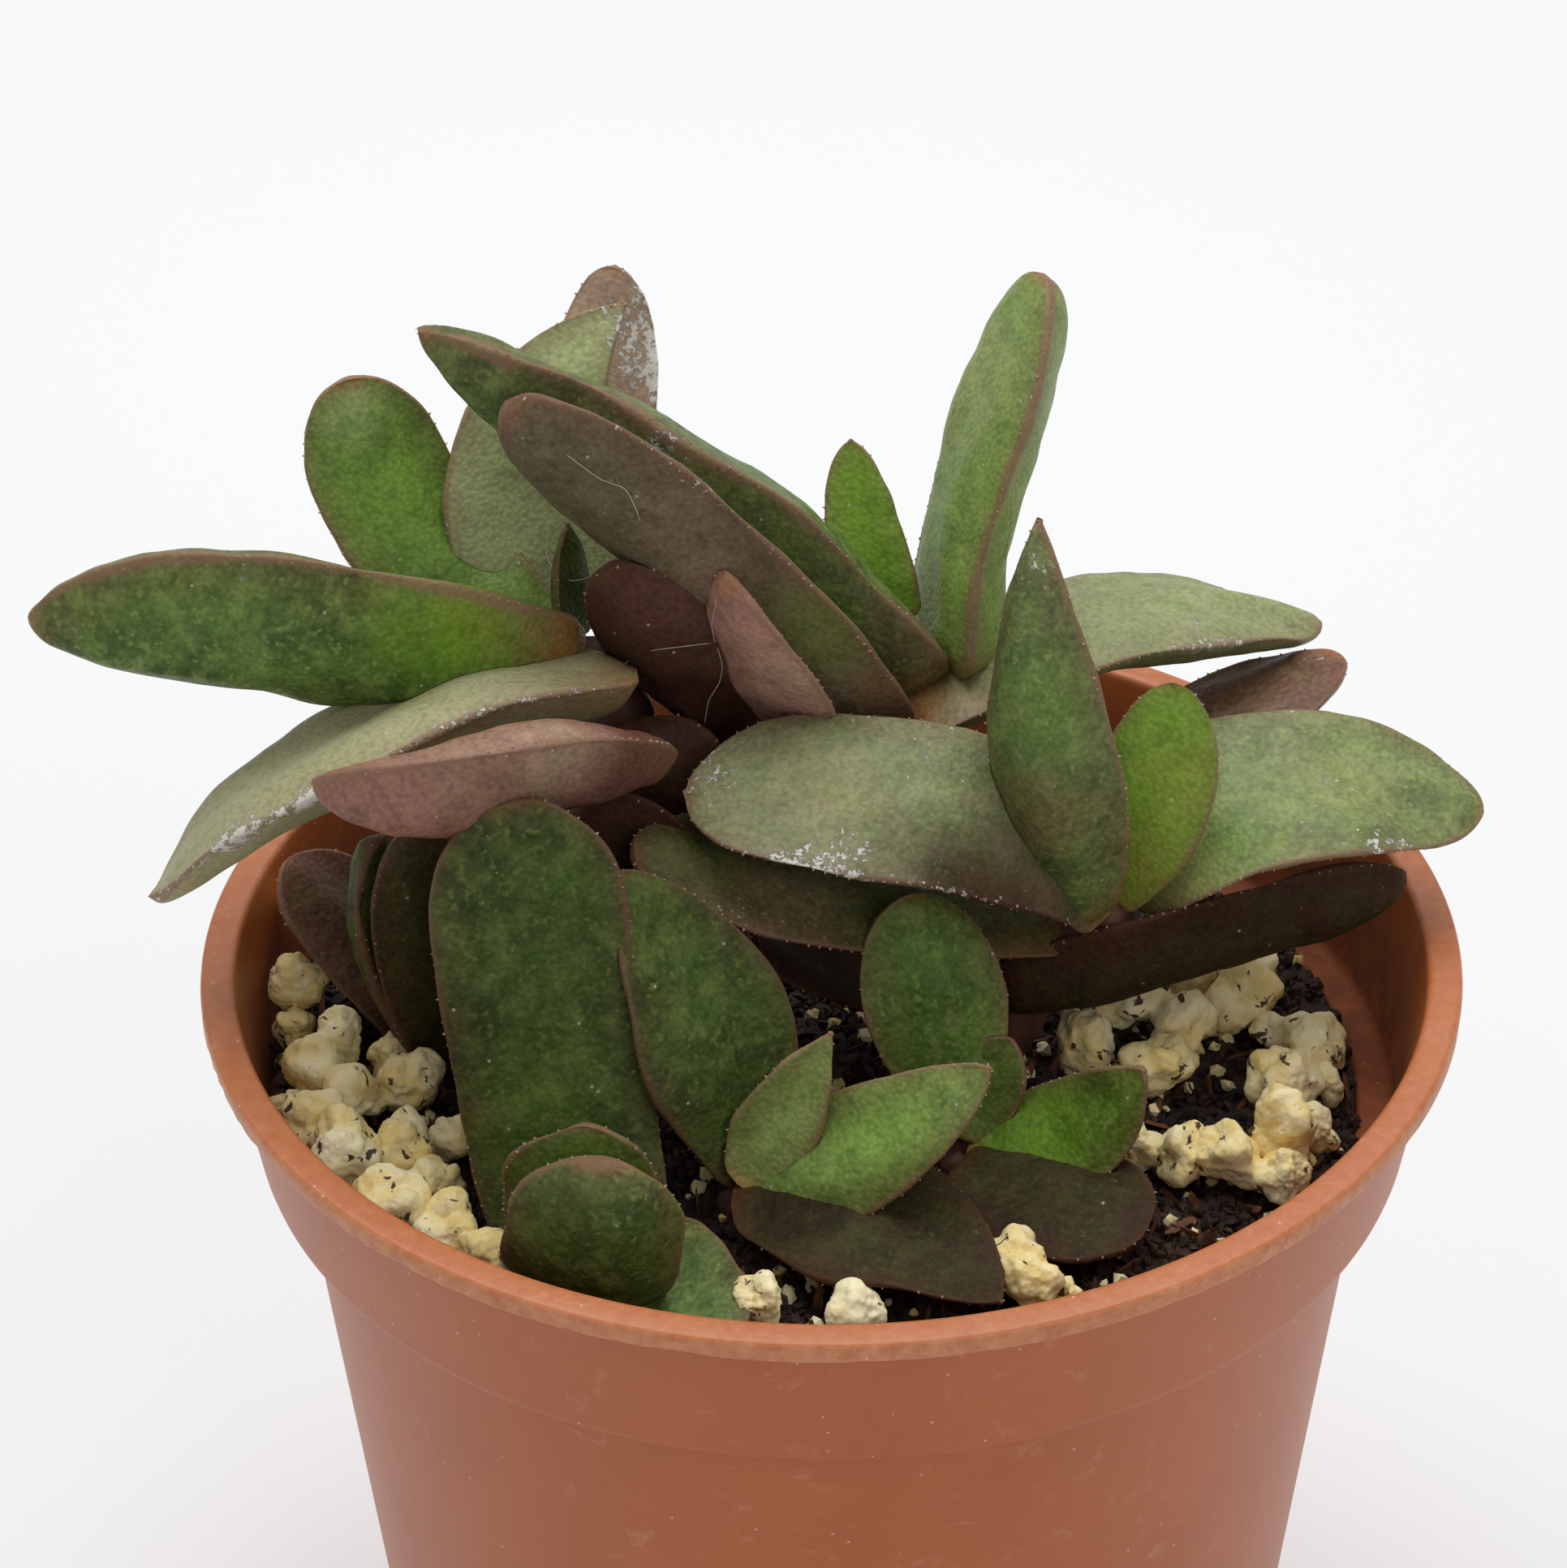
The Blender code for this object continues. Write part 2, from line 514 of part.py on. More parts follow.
# Pumice grains of each patch: x, y, radius, and how far a grain lies above the mix
PUMICE = {
    "pumice_left": [(-25, 6.2, 1.2, 3), (-24, 2.2, 1.2, 0.9), (-24, 0.4, 1, 0),
                    (-21.8, -1.4, 1.4, 0), (-22.6, -3.4, 1.3, 0),
                    (-20.6, -5.2, 1.3, 0), (-19.5, -1.5, 1.2, 0), (-18.4, -4.2, 1.4, 0),
                    (-24, -5, 0.9, 0), (-22.5, -7, 1.5, 0), (-20.8, -9.5, 1.7, 0),
                    (-18.4, -8.6, 1.5, 0), (-16.5, -7.6, 1.1, 0), (-18.5, -13, 1.6, 0),
                    (-17, -10.9, 1.3, 0), (-16, -14.1, 1.4, 0), (-14.2, -16.2, 1.3, 0)],
    "pumice_right_back": [(13.4, 3, 1.5, 0), (11.3, 0.4, 1.5, 0), (14.5, -1.1, 1.4, 0),
                          (15.5, 1.4, 1.4, 0)],
    "pumice_right_far": [(16.6, 6.5, 1.3, 0), (19.3, 6.4, 1.2, 0), (18.4, 4, 1.5, 0),
                         (19.8, 2.2, 1, 0), (21.5, 0.6, 1.4, 0), (20, -2, 1.6, 0), (22, -1.4, 0.8, 0)],
    "pumice_right_front": [(13.2, -6.4, 1.3, 0), (15.1, -7.2, 1.3, 0), (17.1, -7.8, 1.5, 0),
                           (19.3, -6.5, 1.6, 0), (19.4, -8.6, 1.3, 0), (21.3, -5.4, 1, 0)],
    "pumice_front_left": [(-3, -18.5, 1.1, 0)],
    "pumice_front_middle": [(1, -18.5, 1.1, 0)],
    "pumice_front_right": [(7.8, -15.1, 1.2, 0), (8.4, -16.8, 1.2, 0), (9.6, -16.6, 0.8, 0)],
    "pumice_back": [(-4, 18.5, 1.4, 0), (-1.8, 17.8, 1.5, 0), (0.4, 18.8, 1.3, 0), (2.4, 18, 1.5, 0)],
}
CRUMB_R = 0.75


def make_grain(x, y, radius, lift, seed):
    """A rough lump: a small sphere, turned, with its points pushed in and out."""
    draw = random.Random(seed)
    bm = bmesh.new()
    if radius > CRUMB_R:
        bmesh.ops.create_uvsphere(bm, u_segments=6, v_segments=4, radius=1.0)
    else:
        bmesh.ops.create_icosphere(bm, subdivisions=1, radius=1.0)
    turn = Euler([draw.uniform(0.0, 3.0) for _ in range(3)]).to_matrix()
    stretch = [draw.uniform(0.9, 1.1) for _ in range(3)]
    for vert in bm.verts:
        push = draw.uniform(0.92, 1.08) * radius * MM
        turned_co = turn @ vert.co
        vert.co = Vector([turned_co[k] * stretch[k] * push for k in range(3)])
    z = mix_height(x, y) + CLEARANCE + 1.25 * radius + lift
    reach = pot_inner_r(z - radius) * math.cos(math.pi / POT_SIDES) - CLEARANCE - 1.19 * radius
    share = min(1.0, reach / math.hypot(x, y))
    bmesh.ops.translate(bm, verts=bm.verts, vec=Vector((x * share, y * share, z)) * MM)
    mesh = bpy.data.meshes.new("grain")
    bm.to_mesh(mesh)
    bm.free()
    grain = bpy.data.objects.new("grain", mesh)
    bpy.context.scene.collection.objects.link(grain)
    return grain


def crumbs_between(grains):
    """Small crumbs where a grain doesn't reach into its nearest neighbour."""
    crumbs = []
    joined, loose = [grains[0]], list(grains[1:])
    while loose:
        def gap(pair):
            return math.dist(pair[0][:2], pair[1][:2]) - pair[0][2] - pair[1][2]
        near, far = min(((p, q) for p in joined for q in loose), key=gap)
        loose.remove(far)
        joined.append(far)
        wide = gap((near, far)) + 0.45
        if wide <= 0.0:
            continue
        count = math.ceil(wide / (1.2 * CRUMB_R))
        length = math.dist(near[:2], far[:2])
        for i in range(count):
            reach = (near[2] - 0.22 + wide * (i + 0.5) / count) / length
            x, y, lift = [near[k] + (far[k] - near[k]) * reach for k in (0, 1, 3)]
            crumbs.append((x, y, CRUMB_R, lift))
    return crumbs


def make_patch(name, grains, cutters):
    """All the grains of a patch in one body, clear of what stands among them."""
    parts = []
    for i, spec in enumerate(list(grains) + crumbs_between(grains)):
        part = make_grain(*spec, seed=name + str(i))
        trim(part, cutters)
        parts.append(part)
    patch = bpy.data.objects.new(name, parts[0].data.copy())
    bpy.context.scene.collection.objects.link(patch)
    patch.data.name = name
    patch.data.materials.append(principled("pumice"))
    if len(parts) > 1:
        group = bpy.data.collections.new("grains")
        for part in parts[1:]:
            group.objects.link(part)
        boolean(patch, group, "UNION")
        bm = mesh_of(patch)
        keep_largest(bm)
        bm.to_mesh(patch.data)
        bm.free()
        bpy.data.collections.remove(group)
    for part in parts:
        bpy.data.objects.remove(part)
    return patch


def main():
    for obj in list(bpy.data.objects):
        bpy.data.objects.remove(obj)
    pot = make_pot()
    smooth(pot, 30.0)
    cutters = [as_cutter(make_pot(CLEARANCE))]

    for name, (points, foot_r, crown_r) in STEMS.items():
        stem = make_stem(name, points, foot_r, crown_r)
        smooth(stem)
        cutters.append(as_cutter(make_stem(name, points, foot_r, crown_r, CLEARANCE)))

    mix = make_mix()
    trim(mix, cutters[1:])
    cutters.append(as_cutter(make_mix(CLEARANCE)))

    for spec in LEAVES:
        blade = make_leaf(spec)
        trim(blade, cutters)
        smooth(blade)
        cutters.append(as_cutter(make_leaf(spec, CLEARANCE)))

    for name, grains in PUMICE.items():
        make_patch(name, grains, cutters[1:])

    for cutter, _ in cutters:
        bpy.data.objects.remove(cutter)


main()
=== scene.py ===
# %% [markdown]
# # A small gasteria in a nursery pot
# The plant is a clump of seven shoots of thick tongue-shaped leaves in a thin plastic pot.
# The plain CAD solids are loaded first. Each is then replaced by a finer piece of the same form,
# so that the looks follow the solids and nothing has to be fitted by eye.

# %% Load the solids
import math

import bmesh
import bpy
import numpy as np
from mathutils import Matrix, Vector, noise
from mathutils.bvhtree import BVHTree


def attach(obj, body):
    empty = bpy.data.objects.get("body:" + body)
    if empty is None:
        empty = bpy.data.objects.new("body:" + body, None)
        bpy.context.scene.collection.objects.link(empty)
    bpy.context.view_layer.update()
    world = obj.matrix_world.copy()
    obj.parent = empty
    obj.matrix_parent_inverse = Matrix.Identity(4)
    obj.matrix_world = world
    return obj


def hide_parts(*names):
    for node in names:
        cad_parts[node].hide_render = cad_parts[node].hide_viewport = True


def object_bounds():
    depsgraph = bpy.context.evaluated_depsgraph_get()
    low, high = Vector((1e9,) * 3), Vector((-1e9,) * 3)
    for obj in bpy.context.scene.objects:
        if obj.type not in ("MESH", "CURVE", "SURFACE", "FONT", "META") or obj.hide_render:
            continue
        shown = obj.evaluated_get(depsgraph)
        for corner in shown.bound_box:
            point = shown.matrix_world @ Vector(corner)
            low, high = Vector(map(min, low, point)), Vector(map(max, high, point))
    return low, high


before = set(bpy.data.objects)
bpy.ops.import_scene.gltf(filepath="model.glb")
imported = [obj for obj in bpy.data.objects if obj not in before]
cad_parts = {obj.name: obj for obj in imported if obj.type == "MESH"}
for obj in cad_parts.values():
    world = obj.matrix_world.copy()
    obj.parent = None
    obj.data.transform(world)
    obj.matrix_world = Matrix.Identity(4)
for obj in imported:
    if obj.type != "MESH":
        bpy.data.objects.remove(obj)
CAD_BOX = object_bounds()
MM = 0.001
print("solids loaded:", len(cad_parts))

# %% [markdown]
# ## Camera
# The photograph looks down at the pot by a bit over a third of a right angle, through a long lens.
# The camera's place was worked out from the ellipse of the rim, which is a circle 55 mm across.

# %% Camera
PHOTO_WIDTH, PHOTO_HEIGHT = 1931, 1932
FOCAL_PIXELS = 6000.0
SENSOR = 36.0
EYE = Vector((-0.25, -174.66, 172.49))
PITCH, YAW, ROLL = (math.radians(a) for a in (33.18, -0.57, -0.61))

forward = Vector((math.sin(YAW) * math.cos(PITCH), math.cos(YAW) * math.cos(PITCH), -math.sin(PITCH)))
level = forward.cross(Vector((0, 0, 1))).normalized()
upright = level.cross(forward)
right = level * math.cos(ROLL) + upright * math.sin(ROLL)
up = upright * math.cos(ROLL) - level * math.sin(ROLL)
camera_data = bpy.data.cameras.new("camera")
camera_data.sensor_width = SENSOR
camera_data.lens = FOCAL_PIXELS * SENSOR / PHOTO_HEIGHT
camera_data.clip_start = 0.005
camera_data.clip_end = 20.0
camera = bpy.data.objects.new("camera", camera_data)
camera.matrix_world = Matrix.Translation(EYE * MM) @ Matrix((right, up, -forward)).transposed().to_4x4()
bpy.context.scene.collection.objects.link(camera)
bpy.context.scene.camera = camera
print("lens in mm:", round(camera_data.lens, 1))


def sight(px, py):
    """The direction from the eye through a point of the photograph."""
    x, y = px - PHOTO_WIDTH / 2, py - PHOTO_HEIGHT / 2
    return (forward * FOCAL_PIXELS + right * x - up * y).normalized()


# %% [markdown]
# ## Studio
# The plant stands on a pale sheet. A wide soft box above and behind gives the shine along the
# upper faces, a weaker one in front lights the pot, and a pale world fills the shadows.

# %% Studio
def colour(code):
    """An sRGB hex colour as the linear values that Blender wants."""
    parts = [int(code[i:i + 2], 16) / 255 for i in (1, 3, 5)]
    return tuple(c / 12.92 if c <= 0.04045 else ((c + 0.055) / 1.055) ** 2.4 for c in parts) + (1.0,)


def add(tree, kind, *values, **named):
    """Add a node. Values go to its inputs, in order or by name; a dict before them is its settings.

    A value may be a number, a colour, another node's output, or a node for its first output.
    """
    made = tree.nodes.new(kind)
    if values and isinstance(values[0], dict):
        for key, value in values[0].items():
            setattr(made, key, value)
        values = values[1:]
    sockets = [s for s in made.inputs if s.enabled]
    pairs = list(zip(sockets, values))
    pairs += [(next(s for s in sockets if s.name == key.replace("_", " ")), value)
              for key, value in named.items()]
    for socket, value in pairs:
        if isinstance(value, bpy.types.Node):
            value = next(s for s in value.outputs if s.enabled)
        if isinstance(value, bpy.types.NodeSocket):
            tree.links.new(value, socket)
        else:
            socket.default_value = value
    return made


# Node settings that come back often
COLOURS = {"data_type": "RGBA"}
LESS = {"operation": "SUBTRACT"}
TIMES = {"operation": "MULTIPLY"}
TIMES_HELD = {"operation": "MULTIPLY", "use_clamp": True}
TIMES_PLUS = {"operation": "MULTIPLY_ADD"}


def new_material(name):
    """An empty material, its node tree and its object coordinates in millimetres."""
    material = bpy.data.materials.new(name)
    material.use_nodes = True
    tree = material.node_tree
    tree.nodes.clear()
    coords = add(tree, "ShaderNodeTexCoord").outputs["Object"]
    return material, tree, add(tree, "ShaderNodeVectorMath", {"operation": "SCALE"}, coords, Scale=1 / MM)


def stained(tree, mm, base, code, span, **grain):
    """Mix a colour in patches into another. span gives the noise levels and the shares they map to."""
    patches = add(tree, "ShaderNodeTexNoise", mm, **grain)
    patches = add(tree, "ShaderNodeMapRange", patches, *span)
    return add(tree, "ShaderNodeMix", COLOURS, patches, base, colour(code))


def finish(tree, base, **values):
    """End a material in the one shader that all of them use."""
    surface = add(tree, "ShaderNodeBsdfPrincipled", base, **values)
    add(tree, "ShaderNodeOutputMaterial", surface)


def new_object(name, mesh):
    """An object with that mesh, at the origin."""
    obj = bpy.data.objects.new(name, mesh)
    bpy.context.scene.collection.objects.link(obj)
    return obj


world = bpy.data.worlds.new("studio")
bpy.context.scene.world = world
world.use_nodes = True
world.node_tree.nodes["Background"].inputs["Color"].default_value = colour("#fefefe")
world.node_tree.nodes["Background"].inputs["Strength"].default_value = 0.5
bpy.context.scene.view_settings.view_transform = "Standard"


def lamp(name, place, target, size, power):
    """A square soft box aimed at a point."""
    data = bpy.data.lights.new(name, "AREA")
    data.size = size
    data.energy = power
    obj = bpy.data.objects.new(name, data)
    obj.location = place
    obj.rotation_euler = (Vector(target) - Vector(place)).to_track_quat("-Z", "Y").to_euler()
    bpy.context.scene.collection.objects.link(obj)


lamp("softbox_above", (-0.02, 0.16, 0.55), (0.0, 0.0, 0.05), 0.5, 2.5)
lamp("softbox_front", (0.3, -0.48, 0.42), (0.0, 0.0, 0.05), 0.35, 0.45)

paper, tree, _ = new_material("matt white paper sheet")
finish(tree, colour("#e9eaeb"), Roughness=0.9)
floor_mesh = bpy.data.meshes.new("paper_floor")
floor_mesh.from_pydata([(-3, -3, 0), (3, -3, 0), (3, 3, 0), (-3, 3, 0)], [], [(0, 1, 2, 3)])
floor_mesh.materials.append(paper)
floor = new_object("paper_floor", floor_mesh)
floor.location.z = -0.0002

# %% [markdown]
# ## Pot
# A nursery pot is thin injection-moulded polypropylene. It is a turned shape, so its half outline
# is listed once and a node tree turns it about the upright axis. The corners are rounded by
# listing a few points on each, and the drain holes are cut afterwards.

# %% Turn an outline with nodes
def new_tree(name, **inputs):
    """A node tree for geometry with a geometry input, the named inputs and a geometry output."""
    made = bpy.data.node_groups.new(name, "GeometryNodeTree")
    made.interface.new_socket("Geometry", in_out="OUTPUT", socket_type="NodeSocketGeometry")
    made.interface.new_socket("Geometry", in_out="INPUT", socket_type="NodeSocketGeometry")
    for key, kind in inputs.items():
        made.interface.new_socket(key.replace("_", " "), in_out="INPUT", socket_type="NodeSocket" + kind)
    return made, made.nodes.new("NodeGroupInput").outputs


def run_tree(name, source, tree, **values):
    """Run a node tree on a mesh object and keep the result as a plain mesh object."""
    modifier = source.modifiers.new("nodes", "NODES")
    modifier.node_group = tree
    for item in tree.interface.items_tree:
        key = item.name.replace(" ", "_")
        if item.in_out == "INPUT" and key in values:
            modifier[item.identifier] = values[key]
    graph = bpy.context.evaluated_depsgraph_get()
    mesh = bpy.data.meshes.new_from_object(source.evaluated_get(graph))
    mesh.name = name
    bpy.data.objects.remove(source)
    made = new_object(name, mesh)
    print(name, "faces:", len(mesh.polygons))
    return made


def end_tree(tree, geometry, material):
    """Set the material on what a tree has made, and hand it on."""
    geometry = add(tree, "GeometryNodeSetMaterial", geometry, Material=material)
    add(tree, "NodeGroupOutput", geometry)


turning, given = new_tree("turned outline", Sides="Int", Material="Material")
count = add(turning, "GeometryNodeAttributeDomainSize", given["Geometry"]).outputs["Point Count"]
columns = add(turning, "ShaderNodeMath", given["Sides"], 1.0)
sheet = add(turning, "GeometryNodeMeshGrid", Vertices_X=columns, Vertices_Y=count).outputs["Mesh"]
index = add(turning, "GeometryNodeInputIndex").outputs["Index"]
side = add(turning, "ShaderNodeMath", {"operation": "DIVIDE"}, index, count)
side = add(turning, "ShaderNodeMath", {"operation": "FLOOR"}, side)
row = add(turning, "ShaderNodeMath", {"operation": "MODULO"}, index, count)
turn = add(turning, "ShaderNodeMath", {"operation": "DIVIDE"}, side, given["Sides"])
angle = add(turning, "ShaderNodeMath", TIMES, turn, math.tau)
place = add(turning, "GeometryNodeInputPosition")
outline_point = add(turning, "GeometryNodeSampleIndex", {"data_type": "FLOAT_VECTOR"},
                    given["Geometry"], place, row)
turned_point = add(turning, "ShaderNodeVectorRotate", {"rotation_type": "Z_AXIS"}, outline_point,
                   Angle=angle)
shell = add(turning, "GeometryNodeSetPosition", sheet, Position=turned_point)
shell = add(turning, "GeometryNodeMergeByDistance", shell, Distance=0.00001)
end_tree(turning, shell, given["Material"])
print("nodes that turn an outline:", len(turning.nodes))

# %% Pot material
plastic, tree, mm = new_material("moulded polypropylene terracotta")
# Polypropylene is slightly translucent and shines softly; handling leaves pale scuffs and dust.
cloud = add(tree, "ShaderNodeTexNoise", mm, Scale=0.12, Detail=5.0, Roughness=0.6)
base = add(tree, "ShaderNodeMix", COLOURS, cloud, colour("#a04d1c"), colour("#b5622c"))
scuff = add(tree, "ShaderNodeTexNoise", mm, Scale=0.55, Detail=7.0, Roughness=0.72, Distortion=0.6)
scuff = add(tree, "ShaderNodeMapRange", scuff, 0.58, 0.76, 0.0, 0.32)
base = add(tree, "ShaderNodeMix", COLOURS, scuff, base, colour("#dbb092"))
dust = add(tree, "ShaderNodeTexVoronoi", mm, Scale=0.9)
dust = add(tree, "ShaderNodeMapRange", dust, 0.07, 0.03, 0.0, 0.55)
base = add(tree, "ShaderNodeMix", COLOURS, dust, base, colour("#e8d6cb"))
spread = add(tree, "ShaderNodeSeparateXYZ", mm)
out_r = add(tree, "ShaderNodeVectorMath", TIMES, mm, (1.0, 1.0, 0.0))
out_r = add(tree, "ShaderNodeVectorMath", {"operation": "LENGTH"}, out_r).outputs["Value"]
# The inside of the pot is darkened in patches, more on the upper wall than near the mix: partly soil stain
# and partly painted shade.
inner = add(tree, "ShaderNodeAttribute", {"attribute_name": "inside"}).outputs["Fac"]
low = add(tree, "ShaderNodeMapRange", spread.outputs["Z"], 42.8, 46.0, 0.25, 0.85)
soil_stain_and_shade = add(tree, "ShaderNodeTexNoise", mm, Scale=0.7, Detail=6.0, Roughness=0.7)
soil_stain_and_shade = add(tree, "ShaderNodeMath", TIMES_PLUS, soil_stain_and_shade, 1.4, -0.55)
soil_stain_and_shade = add(tree, "ShaderNodeMath", {"operation": "ADD", "use_clamp": True}, soil_stain_and_shade, low)
soil_stain_and_shade = add(tree, "ShaderNodeMath", TIMES_HELD, soil_stain_and_shade, inner)
base = add(tree, "ShaderNodeMix", COLOURS, soil_stain_and_shade, base, colour("#3c1d15"))
# The top face is paler with wear; the outer band of the lip is paler with wear and a painted highlight.
top_wear = add(tree, "ShaderNodeMapRange", spread.outputs["Z"], 49.5, 49.95, 0.0, 0.2)
lip = add(tree, "ShaderNodeMapRange", out_r, 27.3, 27.45, 0.0, 0.4)
wear_and_highlight = add(tree, "ShaderNodeMath", {"operation": "MAXIMUM"}, top_wear, lip)
wear_and_highlight_noise = add(tree, "ShaderNodeTexNoise", mm, Scale=1.4, Detail=6.0, Roughness=0.75)
wear_and_highlight_noise = add(tree, "ShaderNodeMapRange", wear_and_highlight_noise, 0.35, 0.65, 0.4, 1.3)
wear_and_highlight = add(tree, "ShaderNodeMath", TIMES, wear_and_highlight, wear_and_highlight_noise)
base = add(tree, "ShaderNodeMix", COLOURS, wear_and_highlight, base, colour("#e0a67a"))
fine = add(tree, "ShaderNodeTexNoise", mm, Scale=3.0, Detail=4.0)
relief = add(tree, "ShaderNodeBump", Strength=0.35, Distance=0.00004, Height=fine)
rough = add(tree, "ShaderNodeMapRange", scuff, 0.0, 0.32, 0.42, 0.62)
rough = add(tree, "ShaderNodeMath", {"operation": "MULTIPLY_ADD", "use_clamp": True}, inner, 0.35, rough)
finish(tree, base, Roughness=rough, IOR=1.49, Normal=relief, Subsurface_Weight=0.08,
       Subsurface_Radius=(1.0, 0.35, 0.15), Subsurface_Scale=0.0008)
print("nodes of the plastic:", len(tree.nodes))

# %% Pot shape
POT_HEIGHT = 50.0
RIM_OUTER_R, RIM_INNER_R = 27.5, 26.0
RIM_FOOT_Z = 49.1
COLLAR_TOP_R, COLLAR_FOOT_R, COLLAR_FOOT_Z = 26.6, 25.45, 42.0
COLLAR_SLOPE = 0.155
BODY_TOP_R, BODY_FOOT_R = 23.9, 19.3
WALL, FLOOR_THICK = 0.6, 1.4
POT_SIDES = 320


def rounded(points, radii, steps=5):
    """An outline with its corners rounded, each by its own radius."""
    made = [points[0]]
    for before, here, after, radius in zip(points, points[1:], points[2:], radii[1:]):
        here = Vector(here)
        into, out = (Vector(before) - here), (Vector(after) - here)
        reach = min(radius, into.length * 0.45, out.length * 0.45)
        start, end = here + into.normalized() * reach, here + out.normalized() * reach
        for k in range(steps):
            t = k / (steps - 1)
            made.append(tuple(start * (1 - t) ** 2 + here * 2 * t * (1 - t) + end * t ** 2))
    made.append(points[-1])
    return made


def body_r(z):
    """Outer radius of the pot's body at height z."""
    return BODY_FOOT_R + (BODY_TOP_R - BODY_FOOT_R) * z / COLLAR_FOOT_Z


outline = [(0.0, 0.0), (BODY_FOOT_R, 0.0), (BODY_TOP_R, COLLAR_FOOT_Z), (COLLAR_FOOT_R, COLLAR_FOOT_Z),
           (COLLAR_TOP_R, RIM_FOOT_Z), (RIM_OUTER_R, RIM_FOOT_Z), (RIM_OUTER_R, POT_HEIGHT),
           (RIM_INNER_R, POT_HEIGHT), (COLLAR_FOOT_R - WALL, COLLAR_FOOT_Z + WALL),
           (BODY_TOP_R - WALL, COLLAR_FOOT_Z + WALL), (body_r(FLOOR_THICK) - WALL, FLOOR_THICK),
           (0.0, FLOOR_THICK)]
corner_radii = [0, 0.6, 0.5, 0.7, 0.3, 0.15, 0.3, 0.3, 0.5, 0.4, 0.5]
outline = rounded(outline, corner_radii)
outline_mesh = bpy.data.meshes.new("pot outline")
outline_mesh.from_pydata([(x * MM, 0.0, z * MM) for x, z in outline], [], [])
pot = run_tree("plastic_pot", new_object("outline", outline_mesh), turning, Sides=POT_SIDES,
               Material=plastic)


def closed_outward(mesh):
    """Merge doubles and point every face outwards."""
    bm = bmesh.new()
    bm.from_mesh(mesh)
    bmesh.ops.remove_doubles(bm, verts=bm.verts, dist=0.000001)
    bmesh.ops.dissolve_degenerate(bm, dist=0.000001, edges=bm.edges)
    bmesh.ops.recalc_face_normals(bm, faces=bm.faces)
    loose = sum(not edge.is_manifold for edge in bm.edges)
    bm.to_mesh(mesh)
    bm.free()
    return loose


print("open edges of the pot:", closed_outward(pot.data))

# %% [markdown]
# Moulding leaves a rough thread of plastic round the lip, which catches the light in the photo.
# The points along that edge are pushed in a little, unevenly. The holes are cut last.

# %% Lip and drain holes
LIP_R, LIP_LOW_Z, LIP_HIGH_Z = 27.2, 48.9, 49.5
for vert in pot.data.vertices:
    r, z = math.hypot(vert.co.x, vert.co.y) / MM, vert.co.z / MM
    if r > LIP_R and LIP_LOW_Z < z < LIP_HIGH_Z:
        push = 1.0 + 0.0045 * noise.noise(vert.co * 1100.0) + 0.003 * noise.noise(vert.co * 300.0)
        push = min(push, 1.0)
        vert.co = Vector((vert.co.x * push, vert.co.y * push, vert.co.z))

DRAIN_HOLES, DRAIN_R, DRAIN_RING_R = 5, 2.4, 12.0


def cut(obj, cutter):
    """Take one closed mesh out of another."""
    modifier = obj.modifiers.new("cut", "BOOLEAN")
    modifier.object = cutter
    modifier.operation = "DIFFERENCE"
    modifier.solver = "MANIFOLD"
    graph = bpy.context.evaluated_depsgraph_get()
    mesh = bpy.data.meshes.new_from_object(obj.evaluated_get(graph))
    obj.modifiers.clear()
    old = obj.data
    obj.data = mesh
    bpy.data.meshes.remove(old)


for i in range(DRAIN_HOLES):
    angle = math.tau * (i + 0.5) / DRAIN_HOLES
    bm = bmesh.new()
    middle = Matrix.Translation((DRAIN_RING_R * math.cos(angle) * MM, DRAIN_RING_R * math.sin(angle) * MM, 0))
    bmesh.ops.create_cone(bm, cap_ends=True, segments=32, radius1=DRAIN_R * MM, radius2=DRAIN_R * MM,
                          depth=5 * MM, matrix=middle)
    drill_mesh = bpy.data.meshes.new("drill")
    bm.to_mesh(drill_mesh)
    bm.free()
    drill = new_object("drill", drill_mesh)
    cut(pot, drill)
    bpy.data.objects.remove(drill)

inside = pot.data.attributes.new("inside", "FLOAT", "POINT")
for vert, item in zip(pot.data.vertices, inside.data):
    r, z = math.hypot(vert.co.x, vert.co.y) / MM, vert.co.z / MM
    wall_r = body_r(z) if z < COLLAR_FOOT_Z + 0.3 else COLLAR_FOOT_R + (z - COLLAR_FOOT_Z) * COLLAR_SLOPE
    item.value = 1.0 if r < wall_r - 0.3 and z > 0.7 and z < POT_HEIGHT - 0.3 else 0.0
pot.data.shade_smooth()
pot.data.set_sharp_from_angle(angle=math.radians(50))
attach(pot, "root")
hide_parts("pot")
print("pot points:", len(pot.data.vertices))

# %% [markdown]
# ## Potting mix
# Moist peat is nearly black, with crumbs, root fibres and flecks of bark. The fill is a lumpy
# disc that closes the pot, and crumbs and fibres are scattered over it with nodes, because
# there are thousands of them and no two lie alike.

# %% Peat fill
MIX_TOP_Z, MIX_FOOT_Z, MIX_BANK, MIX_RELIEF, STEP_COVER = 43.0, 1.7, 0.04, 0.35, 1.5
MIX_SIDES, MIX_RINGS = 200, 60
LUMP_HEIGHT = 0.8


def mix_height(x, y):
    """Height of the mix, as in the solid."""
    wave = math.sin(0.55 * x + 0.9) * math.cos(0.47 * y - 0.4) + 0.6 * math.sin(0.9 * y + 0.35 * x)
    return MIX_TOP_Z - MIX_BANK * x + MIX_RELIEF * wave


def mix_edge_r(angle):
    """How far out the mix reaches; the pot's inner step shows at the back right."""
    hidden = min(1.0, max(0.0, 0.5 - 1.6 * math.cos(angle - math.radians(40.0))))
    return BODY_TOP_R - WALL - 0.05 + (STEP_COVER - 0.1) * hidden


